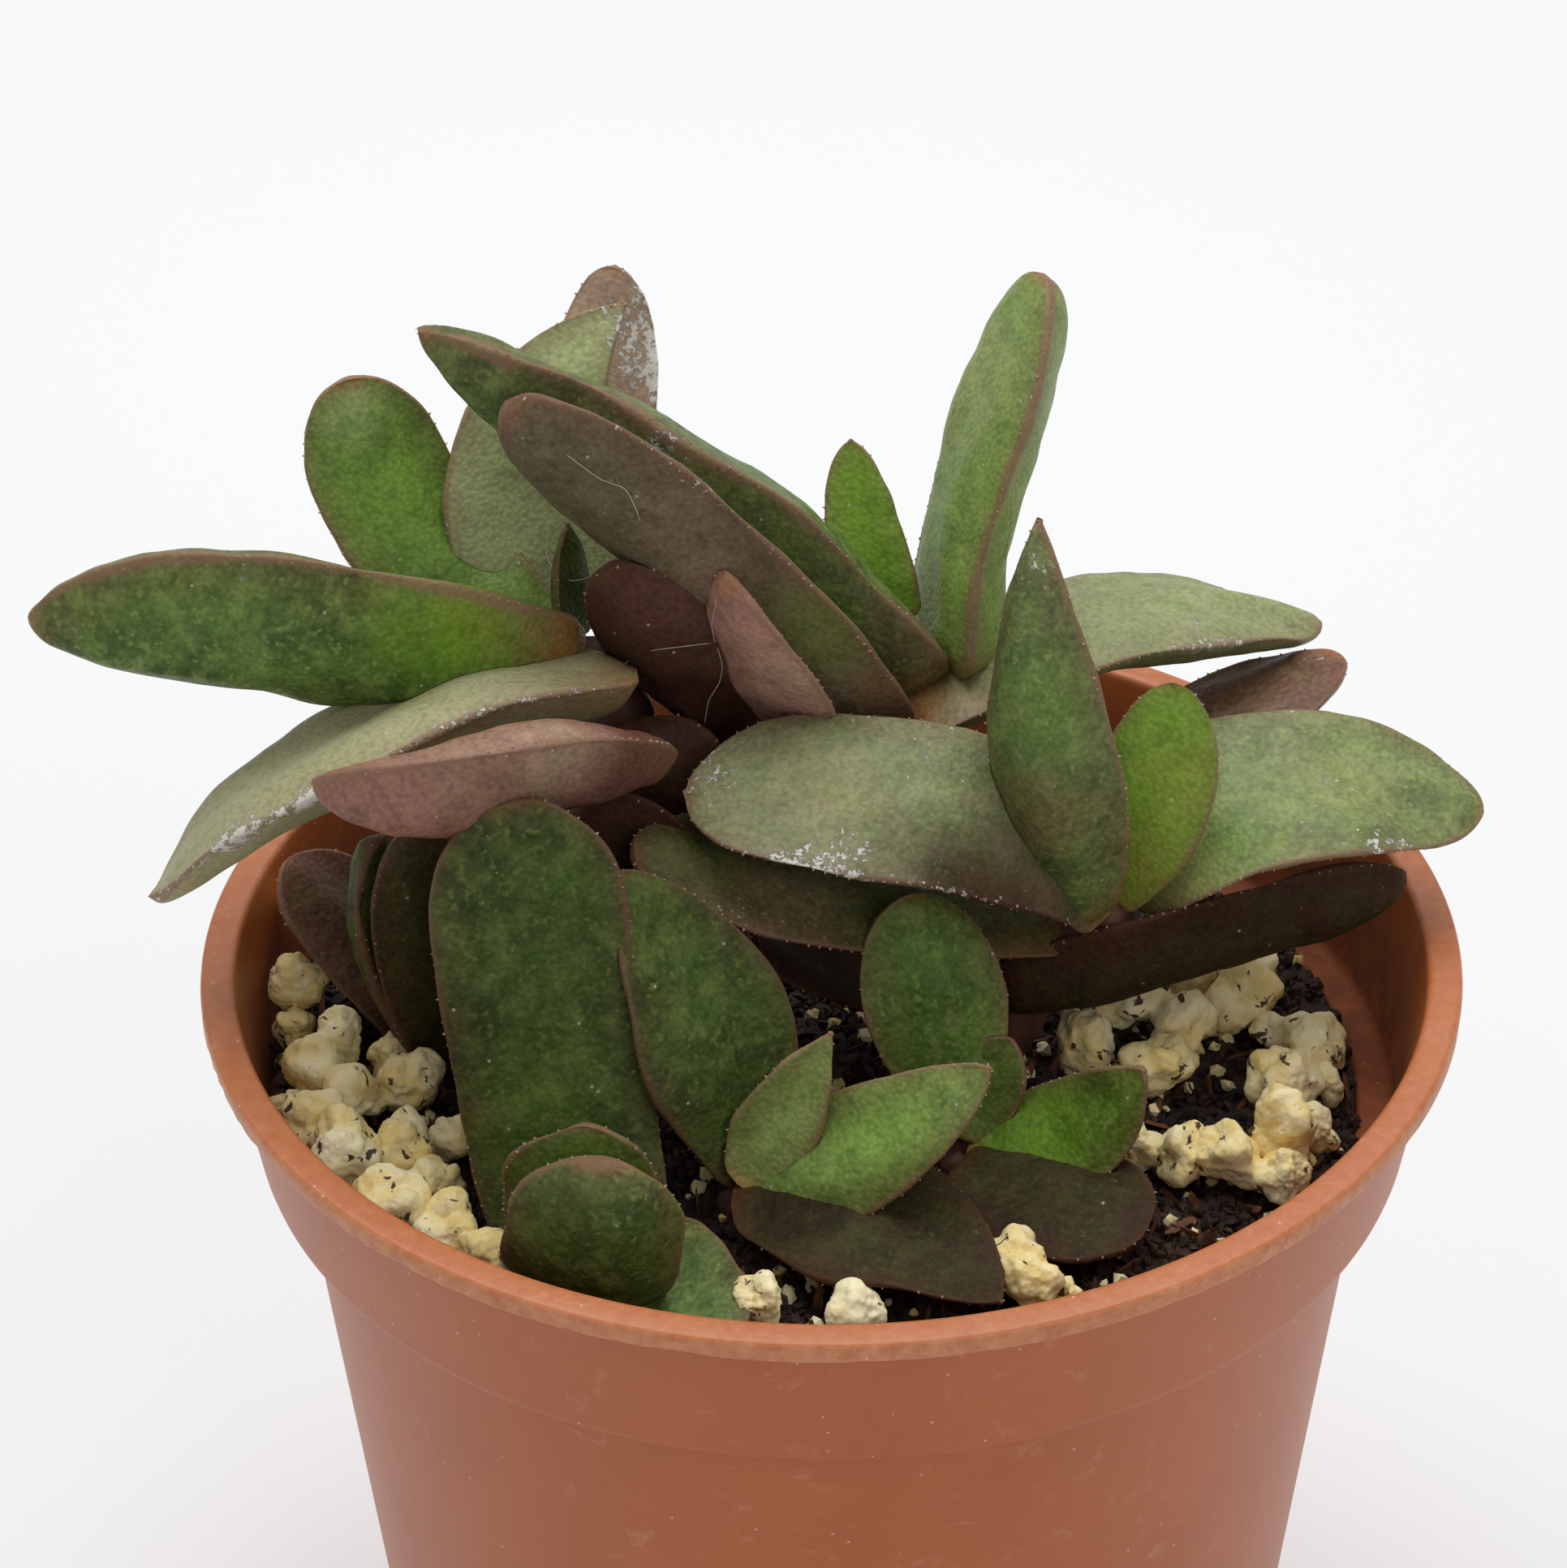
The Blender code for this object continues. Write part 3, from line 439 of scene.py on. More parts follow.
def peat_top(x, y):
    """The mix with its crumbly lumps, wide, middling and fine, each with its height and fineness."""
    at = Vector((x, y, 0.0))
    lump = 0.55 * noise.noise(at * 0.45) + 0.35 * abs(noise.noise(at * 1.3)) + 0.15 * noise.noise(at * 3.1)
    return mix_height(x, y) + lump * LUMP_HEIGHT


def peat_points():
    """Rings of points over the top of the mix, from the middle out to the pot."""
    points = []
    for i in range(1, MIX_RINGS + 1):
        for j in range(MIX_SIDES):
            angle = math.tau * j / MIX_SIDES
            r = mix_edge_r(angle) * i / MIX_RINGS
            x, y = r * math.cos(angle), r * math.sin(angle)
            z = peat_top(x, y)
            if i == MIX_RINGS:
                z = max(mix_height(x, y), COLLAR_FOOT_Z + WALL + 0.1)
            points.append((x, y, z))
    return points


top_points = peat_points()
top_faces = [(i * MIX_SIDES + j, (i + 1) * MIX_SIDES + j, (i + 1) * MIX_SIDES + (j + 1) % MIX_SIDES,
              i * MIX_SIDES + (j + 1) % MIX_SIDES)
             for i in range(MIX_RINGS - 1) for j in range(MIX_SIDES)]
middle = len(top_points)
top_points.append((0.0, 0.0, peat_top(0.0, 0.0)))
top_faces += [(middle, j, (j + 1) % MIX_SIDES) for j in range(MIX_SIDES)]

peat, tree, mm = new_material("moist peat with bark")
# Wet peat is dark, with a dull gleam on the wettest crumbs and warm brown where it has dried.
base = stained(tree, mm, colour("#20130f"), "#4d2f20", (0.42, 0.68, 0.0, 1.0), Scale=0.5, Detail=6.0,
               Roughness=0.7)
base = stained(tree, mm, base, "#7a5334", (0.58, 0.72, 0.0, 0.8), Scale=2.2, Detail=4.0, Roughness=0.7)
crumbly = add(tree, "ShaderNodeTexNoise", mm, Scale=5.0, Detail=5.0, Roughness=0.75)
relief = add(tree, "ShaderNodeBump", Strength=0.9, Distance=0.00015, Height=crumbly)
gleam = add(tree, "ShaderNodeMapRange", crumbly, 0.4, 0.65, 0.75, 0.35)
finish(tree, base, Roughness=gleam, Normal=relief)

neck = len(top_points)
fill_points, fill_faces = list(top_points), list(top_faces)
for ring_r, ring_z in ((BODY_TOP_R - WALL - 0.2, COLLAR_FOOT_Z + 0.3),
                       (body_r(MIX_FOOT_Z) - WALL - 0.3, MIX_FOOT_Z)):
    fill_points += [(ring_r * math.cos(math.tau * j / MIX_SIDES), ring_r * math.sin(math.tau * j / MIX_SIDES),
                     ring_z) for j in range(MIX_SIDES)]
fill_points.append((0.0, 0.0, MIX_FOOT_Z))
rim = (MIX_RINGS - 1) * MIX_SIDES
for j in range(MIX_SIDES):
    k = (j + 1) % MIX_SIDES
    fill_faces.append((rim + j, neck + j, neck + k, rim + k))
    fill_faces.append((neck + j, neck + MIX_SIDES + j, neck + MIX_SIDES + k, neck + k))
    fill_faces.append((neck + MIX_SIDES + j, len(fill_points) - 1, neck + MIX_SIDES + k))


def mesh_from(name, points, faces, material=None):
    """A mesh object from points in millimetres."""
    mesh = bpy.data.meshes.new(name)
    mesh.from_pydata([tuple(float(v) * MM for v in p) for p in points], [], faces)
    if material:
        mesh.materials.append(material)
    return new_object(name, mesh)


def ring_quads(rings, sides, start=0):
    """Faces between rings of points that are listed one ring after another."""
    return [(start + i * sides + j, start + i * sides + (j + 1) % sides,
             start + (i + 1) * sides + (j + 1) % sides, start + (i + 1) * sides + j)
            for i in range(rings - 1) for j in range(sides)]


def end_fans(rings, sides):
    """Faces that close such rings with two points listed after them, foot first."""
    foot = rings * sides
    return ([(foot, (j + 1) % sides, j) for j in range(sides)]
            + [(foot + 1, foot - sides + j, foot - sides + (j + 1) % sides) for j in range(sides)])


fill = mesh_from("peat_fill", fill_points, fill_faces, peat)
print("open edges of the peat:", closed_outward(fill.data))
fill.data.shade_smooth()
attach(fill, "root")
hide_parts("potting_mix")

# %% Scatter tree
scatter, given = new_tree("scattered bits", Per_Square_Metre="Float", Smallest="Float", Largest="Float",
                          Stretch="Float", Lift="Float", Seed="Int", Material="Material")
spots = add(scatter, "GeometryNodeDistributePointsOnFaces", given["Geometry"],
            Density=given["Per Square Metre"], Seed=given["Seed"])
lift = add(scatter, "ShaderNodeCombineXYZ", 0.0, 0.0, given["Lift"])
spots = add(scatter, "GeometryNodeSetPosition", spots.outputs["Points"], Offset=lift)
bit = add(scatter, "GeometryNodeMeshIcoSphere", 0.5, 1).outputs["Mesh"]
rough_bit = add(scatter, "ShaderNodeTexNoise", Scale=2.0)
rough_bit = add(scatter, "ShaderNodeVectorMath", LESS, rough_bit.outputs["Color"],
                (0.5, 0.5, 0.5))
bit = add(scatter, "GeometryNodeSetPosition", bit, Offset=rough_bit)
spin = add(scatter, "FunctionNodeRandomValue", {"data_type": "FLOAT_VECTOR"}, (0.0, 0.0, 0.0),
           (6.28, 6.28, 6.28), Seed=given["Seed"])
size = add(scatter, "FunctionNodeRandomValue", given["Smallest"], given["Largest"],
           Seed=given["Seed"])
longer = add(scatter, "ShaderNodeMath", TIMES, size, given["Stretch"])
thinner = add(scatter, "ShaderNodeMath", {"operation": "DIVIDE"}, size, given["Stretch"])
shape = add(scatter, "ShaderNodeCombineXYZ", longer, size, thinner)
bits = add(scatter, "GeometryNodeInstanceOnPoints", spots, Instance=bit, Rotation=spin, Scale=shape)
bits = add(scatter, "GeometryNodeRealizeInstances", bits)
end_tree(scatter, bits, given["Material"])
print("nodes that scatter:", len(scatter.nodes))

# %% Pumice material
pumice, tree, mm = new_material("weathered cream pumice")
# Pumice is chalky and matt. Iron stains it yellow in patches, and peat fills its deeper pits.
base = stained(tree, mm, colour("#f6ecc0"), "#ead083", (0.34, 0.58, 0.0, 1.0), Scale=0.35, Detail=3.0)
base = stained(tree, mm, base, "#f6efd2", (0.40, 0.65, 0.0, 0.4), Scale=1.8, Detail=5.0, Roughness=0.65)
base = stained(tree, mm, base, "#341f16", (0.622, 0.655, 0.0, 0.95), Scale=1.0, Detail=3.0, Roughness=0.6,
               Distortion=0.5)
pores = add(tree, "ShaderNodeTexVoronoi", mm, Scale=3.4)
relief = add(tree, "ShaderNodeBump", Strength=0.5, Distance=0.00008, Height=pores.outputs["Distance"])
finish(tree, base, Roughness=0.92, Normal=relief)
print("nodes of the pumice:", len(tree.nodes))

# %% Peat crumbs, bark fibres and pale crumbs
bark_flakes, tree, mm = new_material("dry bark flakes")
# Bark flakes are dull orange-brown wood, with a grain too fine to show.
grain = add(tree, "ShaderNodeTexNoise", mm, Scale=0.9, Detail=3.0)
base = add(tree, "ShaderNodeMix", COLOURS, grain, colour("#3a2114"), colour("#8a5730"))
finish(tree, base, Roughness=0.8)

for name, settings in {
    "peat_crumbs": dict(Per_Square_Metre=4.5e6, Smallest=0.0002, Largest=0.0008, Stretch=1.6,
                        Lift=0.0001, Seed=3, Material=peat),
    "peat_fibres": dict(Per_Square_Metre=4.5e5, Smallest=0.0002, Largest=0.0005, Stretch=4.5,
                        Lift=0.0003, Seed=8, Material=bark_flakes),
    "pale_crumbs": dict(Per_Square_Metre=2.2e5, Smallest=0.0003, Largest=0.0009, Stretch=1.1,
                        Lift=0.0003, Seed=5, Material=pumice),
}.items():
    bed = mesh_from("bed", top_points, top_faces)
    closed_outward(bed.data)
    bits = run_tree(name, bed, scatter, **settings)
    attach(bits, "root")

# %% [markdown]
# ## Pumice
# Pumice grains are pale, knobbly and pitted, with bits of peat stuck to them. One node tree
# puts a ball at each listed point and pushes its surface in and out by noise that is read in
# place, so that each grain gets a shape of its own.

# %% Pumice tree
lumps, given = new_tree("pumice grains", Knob_Depth="Float", Seed="Float", Material="Material")
radius = add(lumps, "GeometryNodeInputNamedAttribute", "radius")
ball = add(lumps, "GeometryNodeMeshIcoSphere", 1.0, 5).outputs["Mesh"]
grain = add(lumps, "GeometryNodeInstanceOnPoints", given["Geometry"], Instance=ball, Scale=radius)
grain = add(lumps, "GeometryNodeRealizeInstances", grain)
where = add(lumps, "GeometryNodeInputPosition")
knobs = add(lumps, "ShaderNodeTexNoise", {"noise_dimensions": "4D"}, where, given["Seed"], Scale=480.0,
            Detail=1.5)
pits = add(lumps, "ShaderNodeTexNoise", {"noise_dimensions": "4D"}, where, given["Seed"], Scale=2200.0,
           Detail=4.0, Roughness=0.6)
knobs = add(lumps, "ShaderNodeMath", LESS, knobs, 0.52)
knobs = add(lumps, "ShaderNodeMath", TIMES, knobs, given["Knob Depth"])
pits = add(lumps, "ShaderNodeMath", LESS, pits, 0.5)
pits = add(lumps, "ShaderNodeMath", TIMES, pits, 0.0005)
push = add(lumps, "ShaderNodeMath", knobs, pits)
outward = add(lumps, "GeometryNodeInputNormal")
push = add(lumps, "ShaderNodeVectorMath", {"operation": "SCALE"}, outward, Scale=push)
grain = add(lumps, "GeometryNodeSetPosition", grain, Offset=push)
end_tree(lumps, grain, given["Material"])
print("nodes that make grains:", len(lumps.nodes))

# %% Pumice grains
# Each patch: x, y, radius, and how far a grain lies above the mix
PUMICE = {
    "pumice_left": [(-25, 6.2, 1.2, 3), (-24, 2.2, 1.2, 0.9), (-24, 0.4, 1, 0),
                    (-21.8, -1.4, 1.4, 0), (-22.6, -3.4, 1.3, 0),
                    (-20.6, -5.2, 1.3, 0), (-19.5, -1.5, 1.2, 0), (-18.4, -4.2, 1.4, 0),
                    (-24, -5, 0.9, 0), (-22.5, -7, 1.5, 0), (-20.8, -9.5, 1.7, 0),
                    (-18.4, -8.6, 1.5, 0), (-16.5, -7.6, 1.1, 0), (-18.5, -13, 1.6, 0),
                    (-17, -10.9, 1.3, 0), (-16, -14.1, 1.4, 0), (-14.2, -16.2, 1.3, 0)],
    "pumice_right_back": [(13.4, 3, 1.5, 0), (11.3, 0.4, 1.5, 0), (14.5, -1.1, 1.4, 0),
                          (15.5, 1.4, 1.4, 0)],
    "pumice_right_far": [(16.6, 6.5, 1.3, 0), (19.3, 6.4, 1.2, 0), (18.4, 4, 1.5, 0),
                         (19.8, 2.2, 1, 0), (21.5, 0.6, 1.4, 0), (20, -2, 1.6, 0), (22, -1.4, 0.8, 0)],
    "pumice_right_front": [(13.2, -6.4, 1.3, 0), (15.1, -7.2, 1.3, 0), (17.1, -7.8, 1.5, 0),
                           (19.3, -6.5, 1.6, 0), (19.4, -8.6, 1.3, 0), (21.3, -5.4, 1, 0)],
    "pumice_front_left": [(-3, -18.5, 1.1, 0)],
    "pumice_front_middle": [(1, -18.5, 1.1, 0)],
    "pumice_front_right": [(7.8, -15.1, 1.2, 0), (8.4, -16.8, 1.2, 0), (9.6, -16.6, 0.8, 0)],
    "pumice_back": [(-4, 18.5, 1.4, 0), (-1.8, 17.8, 1.5, 0), (0.4, 18.8, 1.3, 0), (2.4, 18, 1.5, 0)],
}


WALL_PLAY = 0.1
GRAIN_GAP, GRAIN_RISE, GRAIN_REACH = 0.1, 1.2, 1.15
KNOB_DEPTH = 0.0031


def wall_limit(z):
    """How far out a thing may reach inside the pot at height z."""
    if z > COLLAR_FOOT_Z + WALL:
        return COLLAR_FOOT_R - WALL + COLLAR_SLOPE * (z - COLLAR_FOOT_Z - WALL) - WALL_PLAY
    return body_r(z) - WALL - WALL_PLAY


for number, (node, grains) in enumerate(PUMICE.items()):
    points, radii = [], []
    for x, y, r, lift in grains:
        z = mix_height(x, y) + GRAIN_GAP + GRAIN_RISE * r + lift
        share = min(1.0, (wall_limit(z - r) - GRAIN_REACH * r) / math.hypot(x, y))
        points.append((x * share, y * share, z))
        radii.append(r * MM)
    seeds = mesh_from("seeds", points, [])
    seeds.data.attributes.new("radius", "FLOAT", "POINT").data.foreach_set("value", radii)
    patch = run_tree(node + "_grains", seeds, lumps, Knob_Depth=KNOB_DEPTH, Seed=float(number),
                     Material=pumice)
    for vert in patch.data.vertices:
        share = wall_limit(vert.co.z / MM) * MM / math.hypot(vert.co.x, vert.co.y)
        if share < 1:
            vert.co = Vector((vert.co.x * share, vert.co.y * share, vert.co.z))
    patch.data.shade_smooth()
    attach(patch, "root")
    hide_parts(node)

# %% [markdown]
# ## Leaves
# A gasteria leaf is a thick tongue. Its upper face is nearly flat, its underside is rounded, and
# the two meet in a horny margin with small teeth. Each leaf is a section swept along a curved
# spine, as in the solid, but with a rounded margin, soft folds and dents.

# %% Leaf table
BROAD_TIP = (0.75, 0.5)
ROUND_TIP = (0.62, 0.5)
BLUNT_TIP = (0.45, 0.62)
TAPER_TIP = (0.3, 0.7)
POINTED_TIP = (0.2, 0.85)
PLAIN_LEAF = dict(lower=2.0, upper=0.4, tip=ROUND_TIP, base=0.75, swell=0.4, glow=0.0, pink=0.0,
                  bloom=0.0, pale=0.0, dark=0.0)
BLUSH = {"green": 0.0, "bronze": 0.75}
LEAVES = {}


def leaf(name, colour_name, spine, faces, width, **own):
    """List one leaf, with lengths in millimetres, and with what it has of its own.

    spine runs from the stem to the tip, faces is the way the upper face looks, and lower and
    upper are how far the faces bulge. base is the width at the foot and swell where the full width
    is reached, as shares. glow is how vivid the green is, which is painted light shining through
    the leaf. blush is how purple, pink how rosy, bloom how grey and pale how light its colour is.
    dark is how much it is darkened, partly a darker colour and partly painted shade. skin names the
    skin where it is not that of colour_name.
    """
    LEAVES["leaf_" + name] = dict(PLAIN_LEAF, colour=colour_name, skin=colour_name,
                                  blush=BLUSH[colour_name], spine=spine, faces=faces, width=width) | own


# Shoot e, front middle. Each leaf is cut clear of those above it in this list.
leaf("e_young", "green", [(-3.8, -11.6, 45.6), (-1.8, -11, 49.2), (0, -10, 52.4)],
     (0.1, -0.7, 0.7), 3.8, lower=1.2, upper=-0.2, base=0.5, tip=POINTED_TIP, glow=0.4, pale=0.45)
leaf("e_right", "green", [(-4, -11.6, 44.8), (1.6, -12.4, 48.4), (6.6, -12, 52)],
     (0.1, -0.6, 0.8), 5.6, base=0.35, swell=0.5, tip=TAPER_TIP, glow=0.22, pale=0.15)
leaf("e_back", "green", [(-3.4, -10.4, 44.6), (-5.4, -8.4, 52.4), (-8.8, -6.4, 58.2)],
     (0.3, -0.55, 0.75), 8, base=0.3, swell=0.55, tip=TAPER_TIP, glow=0.05, dark=0.5)
leaf("e_low", "bronze", [(-4.2, -12, 45.2), (2, -14.4, 45.8), (7, -18.4, 44.8)],
     (0.2, -0.3, 0.95), 9, lower=1.2, base=0.35, swell=0.55, tip=POINTED_TIP, blush=0.4, dark=0.85,
     skin="green")

# Shoot f, right of the middle
leaf("f_young", "green", [(5.4, -7, 44.6), (6.4, -6.4, 46.6), (7.6, -6, 49)],
     (0, -0.7, 0.7), 3.5, lower=1.0, tip=BLUNT_TIP, glow=0.2, dark=0.2)
leaf("f_up", "green", [(5.2, -7, 44.6), (4.4, -5, 50.8), (3, -3, 54.4)],
     (0.1, -0.6, 0.8), 6.3, base=0.3, swell=0.6, glow=0.15, dark=0.15)
leaf("f_right", "green", [(5.8, -7.6, 44), (9.8, -8.4, 45.6), (13.2, -9, 49.8)],
     (0.1, -0.55, 0.8), 5.4, lower=1.8, base=0.5, tip=TAPER_TIP, glow=0.3, dark=0.1)
leaf("f_low", "bronze", [(5.4, -8.4, 44), (9.2, -11, 44.6), (13, -14, 44.6)],
     (0, -0.2, 1), 6.5, lower=1.2, blush=0.45, dark=0.85, skin="green")

# Shoot c, on the right
leaf("c_bright", "green", [(12.2, 0.4, 51.6), (14, 0.4, 57.4), (14.6, 1.6, 62.2)],
     (-0.1, -0.75, 0.65), 5, lower=1.2, upper=0.3, base=0.4, swell=0.6, glow=1.0, pale=0.15)
leaf("c_up", "green", [(11.6, -1, 52.2), (9.2, -0.4, 62), (8.8, 3, 69.6)],
     (0.45, 0.75, -0.5), 6.6, lower=2.8, base=0.3, swell=0.45, tip=POINTED_TIP, bloom=0.15, dark=0.15)
leaf("c_right", "green", [(12.6, 1.6, 51), (16.6, 2.4, 55.6), (22.2, 3, 56), (28.6, 3, 54.6)],
     (-0.1, -0.3, 0.95), 8.8, lower=2.4, base=0.5, swell=0.3, tip=BLUNT_TIP, bloom=0.2, pale=0.2)
leaf("c_left", "green", [(12.2, -0.4, 52.2), (6.2, -1.6, 57.8), (0, -2, 59.2), (-6.2, -1.6, 59)],
     (0.1, -0.4, 0.9), 8.5, lower=2.8, base=0.55, swell=0.5, blush=0.2, bloom=0.5)
leaf("c_back", "bronze", [(13, 4, 54.2), (17.2, 8, 56.6), (23, 11, 57.6)], (-0.2, 0.05, 1), 6.5, blush=0.6)
leaf("c_under", "green", [(10.6, 0, 50.4), (-0.4, -1.8, 54.4), (-8.4, -4, 57.4)],
     (0.05, -0.35, 0.95), 7, lower=1.6, base=0.4, swell=0.6, bloom=0.1, blush=0.3, dark=0.5)
leaf("c_shade", "bronze", [(7.2, 0, 47.6), (14.2, 0.4, 49.4), (25.2, 2, 52.2)],
     (0, 0.85, 0.5), 6, blush=0.55, dark=0.95, skin="green")
leaf("c_dry_left", "bronze", [(3.4, 1, 46.4), (-0.2, 0.4, 48.4), (-3.4, 0, 50)],
     (0, -0.05, 1), 5, lower=0.8, upper=0.2, blush=0.4, dark=0.9)

# Shoot b, upper middle
leaf("b_small", "green", [(3, 9, 60.6), (1.6, 10.4, 64.6), (1, 12, 68.4)],
     (0, -0.75, 0.65), 3.4, lower=1.0, upper=0.3, tip=BLUNT_TIP, glow=1.1, pale=0.15)
leaf("b_right", "green", [(2.8, 6, 58), (11.4, 10, 60.2), (22.2, 14, 57.4)],
     (0, 0.1, 1), 8.5, upper=0.8, tip=BLUNT_TIP, bloom=0.6, pale=0.4)
leaf("b_tall", "green", [(4.8, 9, 59), (6.2, 11, 67.6), (9.4, 14, 75.4)],
     (-0.85, -0.2, 0.5), 7.8, lower=2.6, upper=0.6, base=1.1, glow=0.35, pale=0.3)
leaf("b_long", "green", [(4.2, 8, 58.4), (-5.6, 8, 68.4), (-17.4, 8, 76)],
     (0.5, 0.7, 0.5), 8.6, lower=3.4, upper=1.6, tip=TAPER_TIP, bloom=0.1, dark=0.1)
leaf("b_grey", "bronze", [(2, 6.4, 57.4), (-5.8, 4, 68.2), (-13.4, 3.6, 75)],
     (0.6, 0.75, 0.25), 8.2, lower=2.6, upper=0.8, tip=BROAD_TIP, blush=0.2, bloom=0.35, dark=0.35)
leaf("b_pink", "bronze", [(0.2, 8, 54), (-2.6, 3, 62.6), (-4.4, 1, 68.2)],
     (0.6, 0.75, -0.25), 6.4, lower=1.8, upper=0.6, tip=BLUNT_TIP, blush=0.8, pink=0.75)
leaf("b_round", "bronze", [(-1.4, 7.6, 54.2), (-5.4, 4, 62), (-9.4, 2, 67.8)],
     (0.4, 0.9, -0.1), 7.5, upper=0.5, blush=0.95, dark=0.75)
leaf("b_behind", "bronze", [(3, 8.5, 47.5), (5.6, 14, 47.6), (8, 20.2, 46.4)],
     (0, 0.2, 1), 7, lower=1.6, dark=0.7)

# Shoot a, upper left
leaf("a_young", "green", [(-11, 7, 61.4), (-11.2, 8, 63.8), (-11.4, 9, 66)],
     (0.9, -0.35, 0.25), 3, lower=1.0, tip=POINTED_TIP, glow=0.2, dark=0.3)
leaf("a_face", "green", [(-11.4, 6.4, 61.2), (-17.6, 9.6, 64.6), (-20.8, 12, 71.6)],
     (0.15, -0.65, 0.75), 6.4, upper=0.3, base=0.4, swell=0.5, tip=BROAD_TIP, glow=0.35, pale=0.1)
leaf("a_down", "green", [(-8.6, 3, 62.4), (-17.6, -0.4, 62.6), (-29, -4, 55.4)],
     (-0.3, 0.15, 0.95), 8, lower=2.6, base=0.8, tip=BLUNT_TIP, pink=0.25, bloom=0.8, pale=1.1)
leaf("a_west", "green", [(-10.6, 5, 62.6), (-21.4, 3, 65.4), (-29.8, 1.6, 66.8), (-33.8, 1, 66)],
     (0, 0.8, 0.6), 9, lower=4.0, upper=1.5, base=0.45, swell=0.35, tip=BLUNT_TIP)
leaf("a_pale", "green", [(-11.2, 9, 60.6), (-13.2, 12, 67), (-8.8, 15, 73.6)],
     (0.3, -0.65, 0.7), 8, tip=POINTED_TIP, bloom=0.45, pale=2.0)
leaf("a_back", "bronze", [(-10.6, 10, 60.2), (-10.2, 15, 66), (-9.4, 19, 73.4)],
     (-0.3, -0.65, 0.7), 5.2, blush=0.2, pink=1.2, bloom=0.6, pale=0.3)
leaf("a_pink", "bronze", [(-7.2, 0, 59.4), (-10, -3.6, 62.6), (-14.8, -6.4, 63.4), (-21.2, -8, 63.6)],
     (0, 0.75, 0.7), 6.2, lower=2.8, upper=1.0, base=0.3, swell=0.75, tip=BLUNT_TIP, blush=1.0, pink=0.12)
leaf("a_sheath", "bronze", [(-6.2, 3, 52.4), (-7, 2.4, 56.2), (-8.4, 3, 59.8)],
     (0.3, 0.9, -0.25), 6.5, lower=1.4, blush=0.8, dark=0.8)
leaf("a_old", "bronze", [(-5.2, 1, 50.6), (-7.8, -0.4, 54.8), (-10.6, -1, 58.2)],
     (0.4, 0.9, 0.1), 6, lower=1.6, blush=0.8, dark=0.9)
leaf("a_behind", "bronze", [(-6.4, 5.6, 50), (-9.4, 11, 50.4), (-12, 17, 48.6)],
     (0.2, 0, 1), 6.4, lower=1.6, dark=0.7)

# Shoot d, front left
leaf("d_young", "green", [(-11.2, -14.4, 43.6), (-10.4, -16, 48.2), (-10.2, -16, 52.2)],
     (0, -0.75, 0.65), 6.6, lower=1.2, glow=0.3, dark=0.3)
leaf("d_front", "green", [(-10.6, -15.6, 44.6), (-9.8, -19.6, 48.6), (-9.2, -20, 53.6)],
     (0, 1, -0.05), 7.3, lower=1.8, base=0.9, tip=BROAD_TIP, dark=0.2)
leaf("d_tall", "green", [(-10.2, -14, 43.2), (-12, -10, 52.6), (-13, -7.6, 62.6)],
     (0.05, -0.7, 0.7), 8.2, base=0.85, swell=0.3, tip=BROAD_TIP, dark=0.5)
leaf("d_low", "green", [(-9.8, -14, 44.6), (-7.6, -18, 44.6), (-5.8, -22, 44.2)],
     (0, -0.2, 1), 8, lower=1.4, dark=0.15)

# Shoot g, far left
leaf("g_inner", "green", [(-16.8, -0.4, 44.4), (-17.6, -1.6, 50.8), (-17.6, -2, 57.4)],
     (0.3, -0.65, 0.7), 4.5, blush=0.4, dark=0.65)
leaf("g_mid", "green", [(-17.2, 0.4, 43.6), (-18.8, 0, 49.2), (-19.6, -0.4, 55.8)],
     (0.85, -0.3, 0.45), 5, dark=0.5)
leaf("g_outer", "bronze", [(-17.8, 1.6, 42.8), (-20.6, 3, 47.8), (-24.2, 4, 51.6)],
     (0.5, -0.4, 0.75), 6, lower=1.6, base=0.45, swell=0.6, blush=0.6, dark=0.25)
print("leaves listed:", len(LEAVES))

# %% Leaf geometry
RINGS = 64
FACE_POINTS = 15
RIM_POINTS = 3
RIM_R = 0.14
# The keel lies a little off the middle of the underside, and its ridge is a soft one.
KEEL, RIDGE = 0.15, 1.7
FOOT_SHARE, FOOT_WIDTH = 0.07, 0.3
HOLLOW_MOST, FLAT_BELOW = 0.3, 0.3
DENT_DEPTH, DENT_SCALE = 0.16, 0.28
DIMPLE_DEPTH, DIMPLE_SCALE = 0.08, 0.8
FOLD_DEPTH, FOLD_ACROSS, FOLD_ALONG = 0.6, 0.45, 0.13


def along(points, t):
    """Points at each t, from 0 to 1, of a smooth curve through a few points."""
    points = np.array(points, float)
    steps = np.linalg.norm(np.diff(points, axis=0), axis=1)
    knots = np.concatenate([[0.0], np.cumsum(steps)]) / steps.sum()
    place = np.zeros((len(t), 3))
    for i, point in enumerate(points):
        weight = np.ones(len(t))
        for j, knot in enumerate(knots):
            if j != i:
                weight *= (t - knot) / (knots[i] - knot)
        place += weight[:, None] * point
    return place


def unit(vectors):
    """The same directions, each one long."""
    return vectors / np.linalg.norm(vectors, axis=-1, keepdims=True)


def tube_rings(line, lean, sides, radius):
    """The headings of a line and rings of points round it. radius depends on the ring and the angle."""
    way = unit(np.gradient(line, axis=0))
    across = unit(np.cross(way, lean))
    other = np.cross(way, across)
    angles = [math.tau * j / sides for j in range(sides)]
    return way, [line[i] + radius(i, angle) * (across[i] * math.cos(angle) + other[i] * math.sin(angle))
                 for i in range(len(line)) for angle in angles]


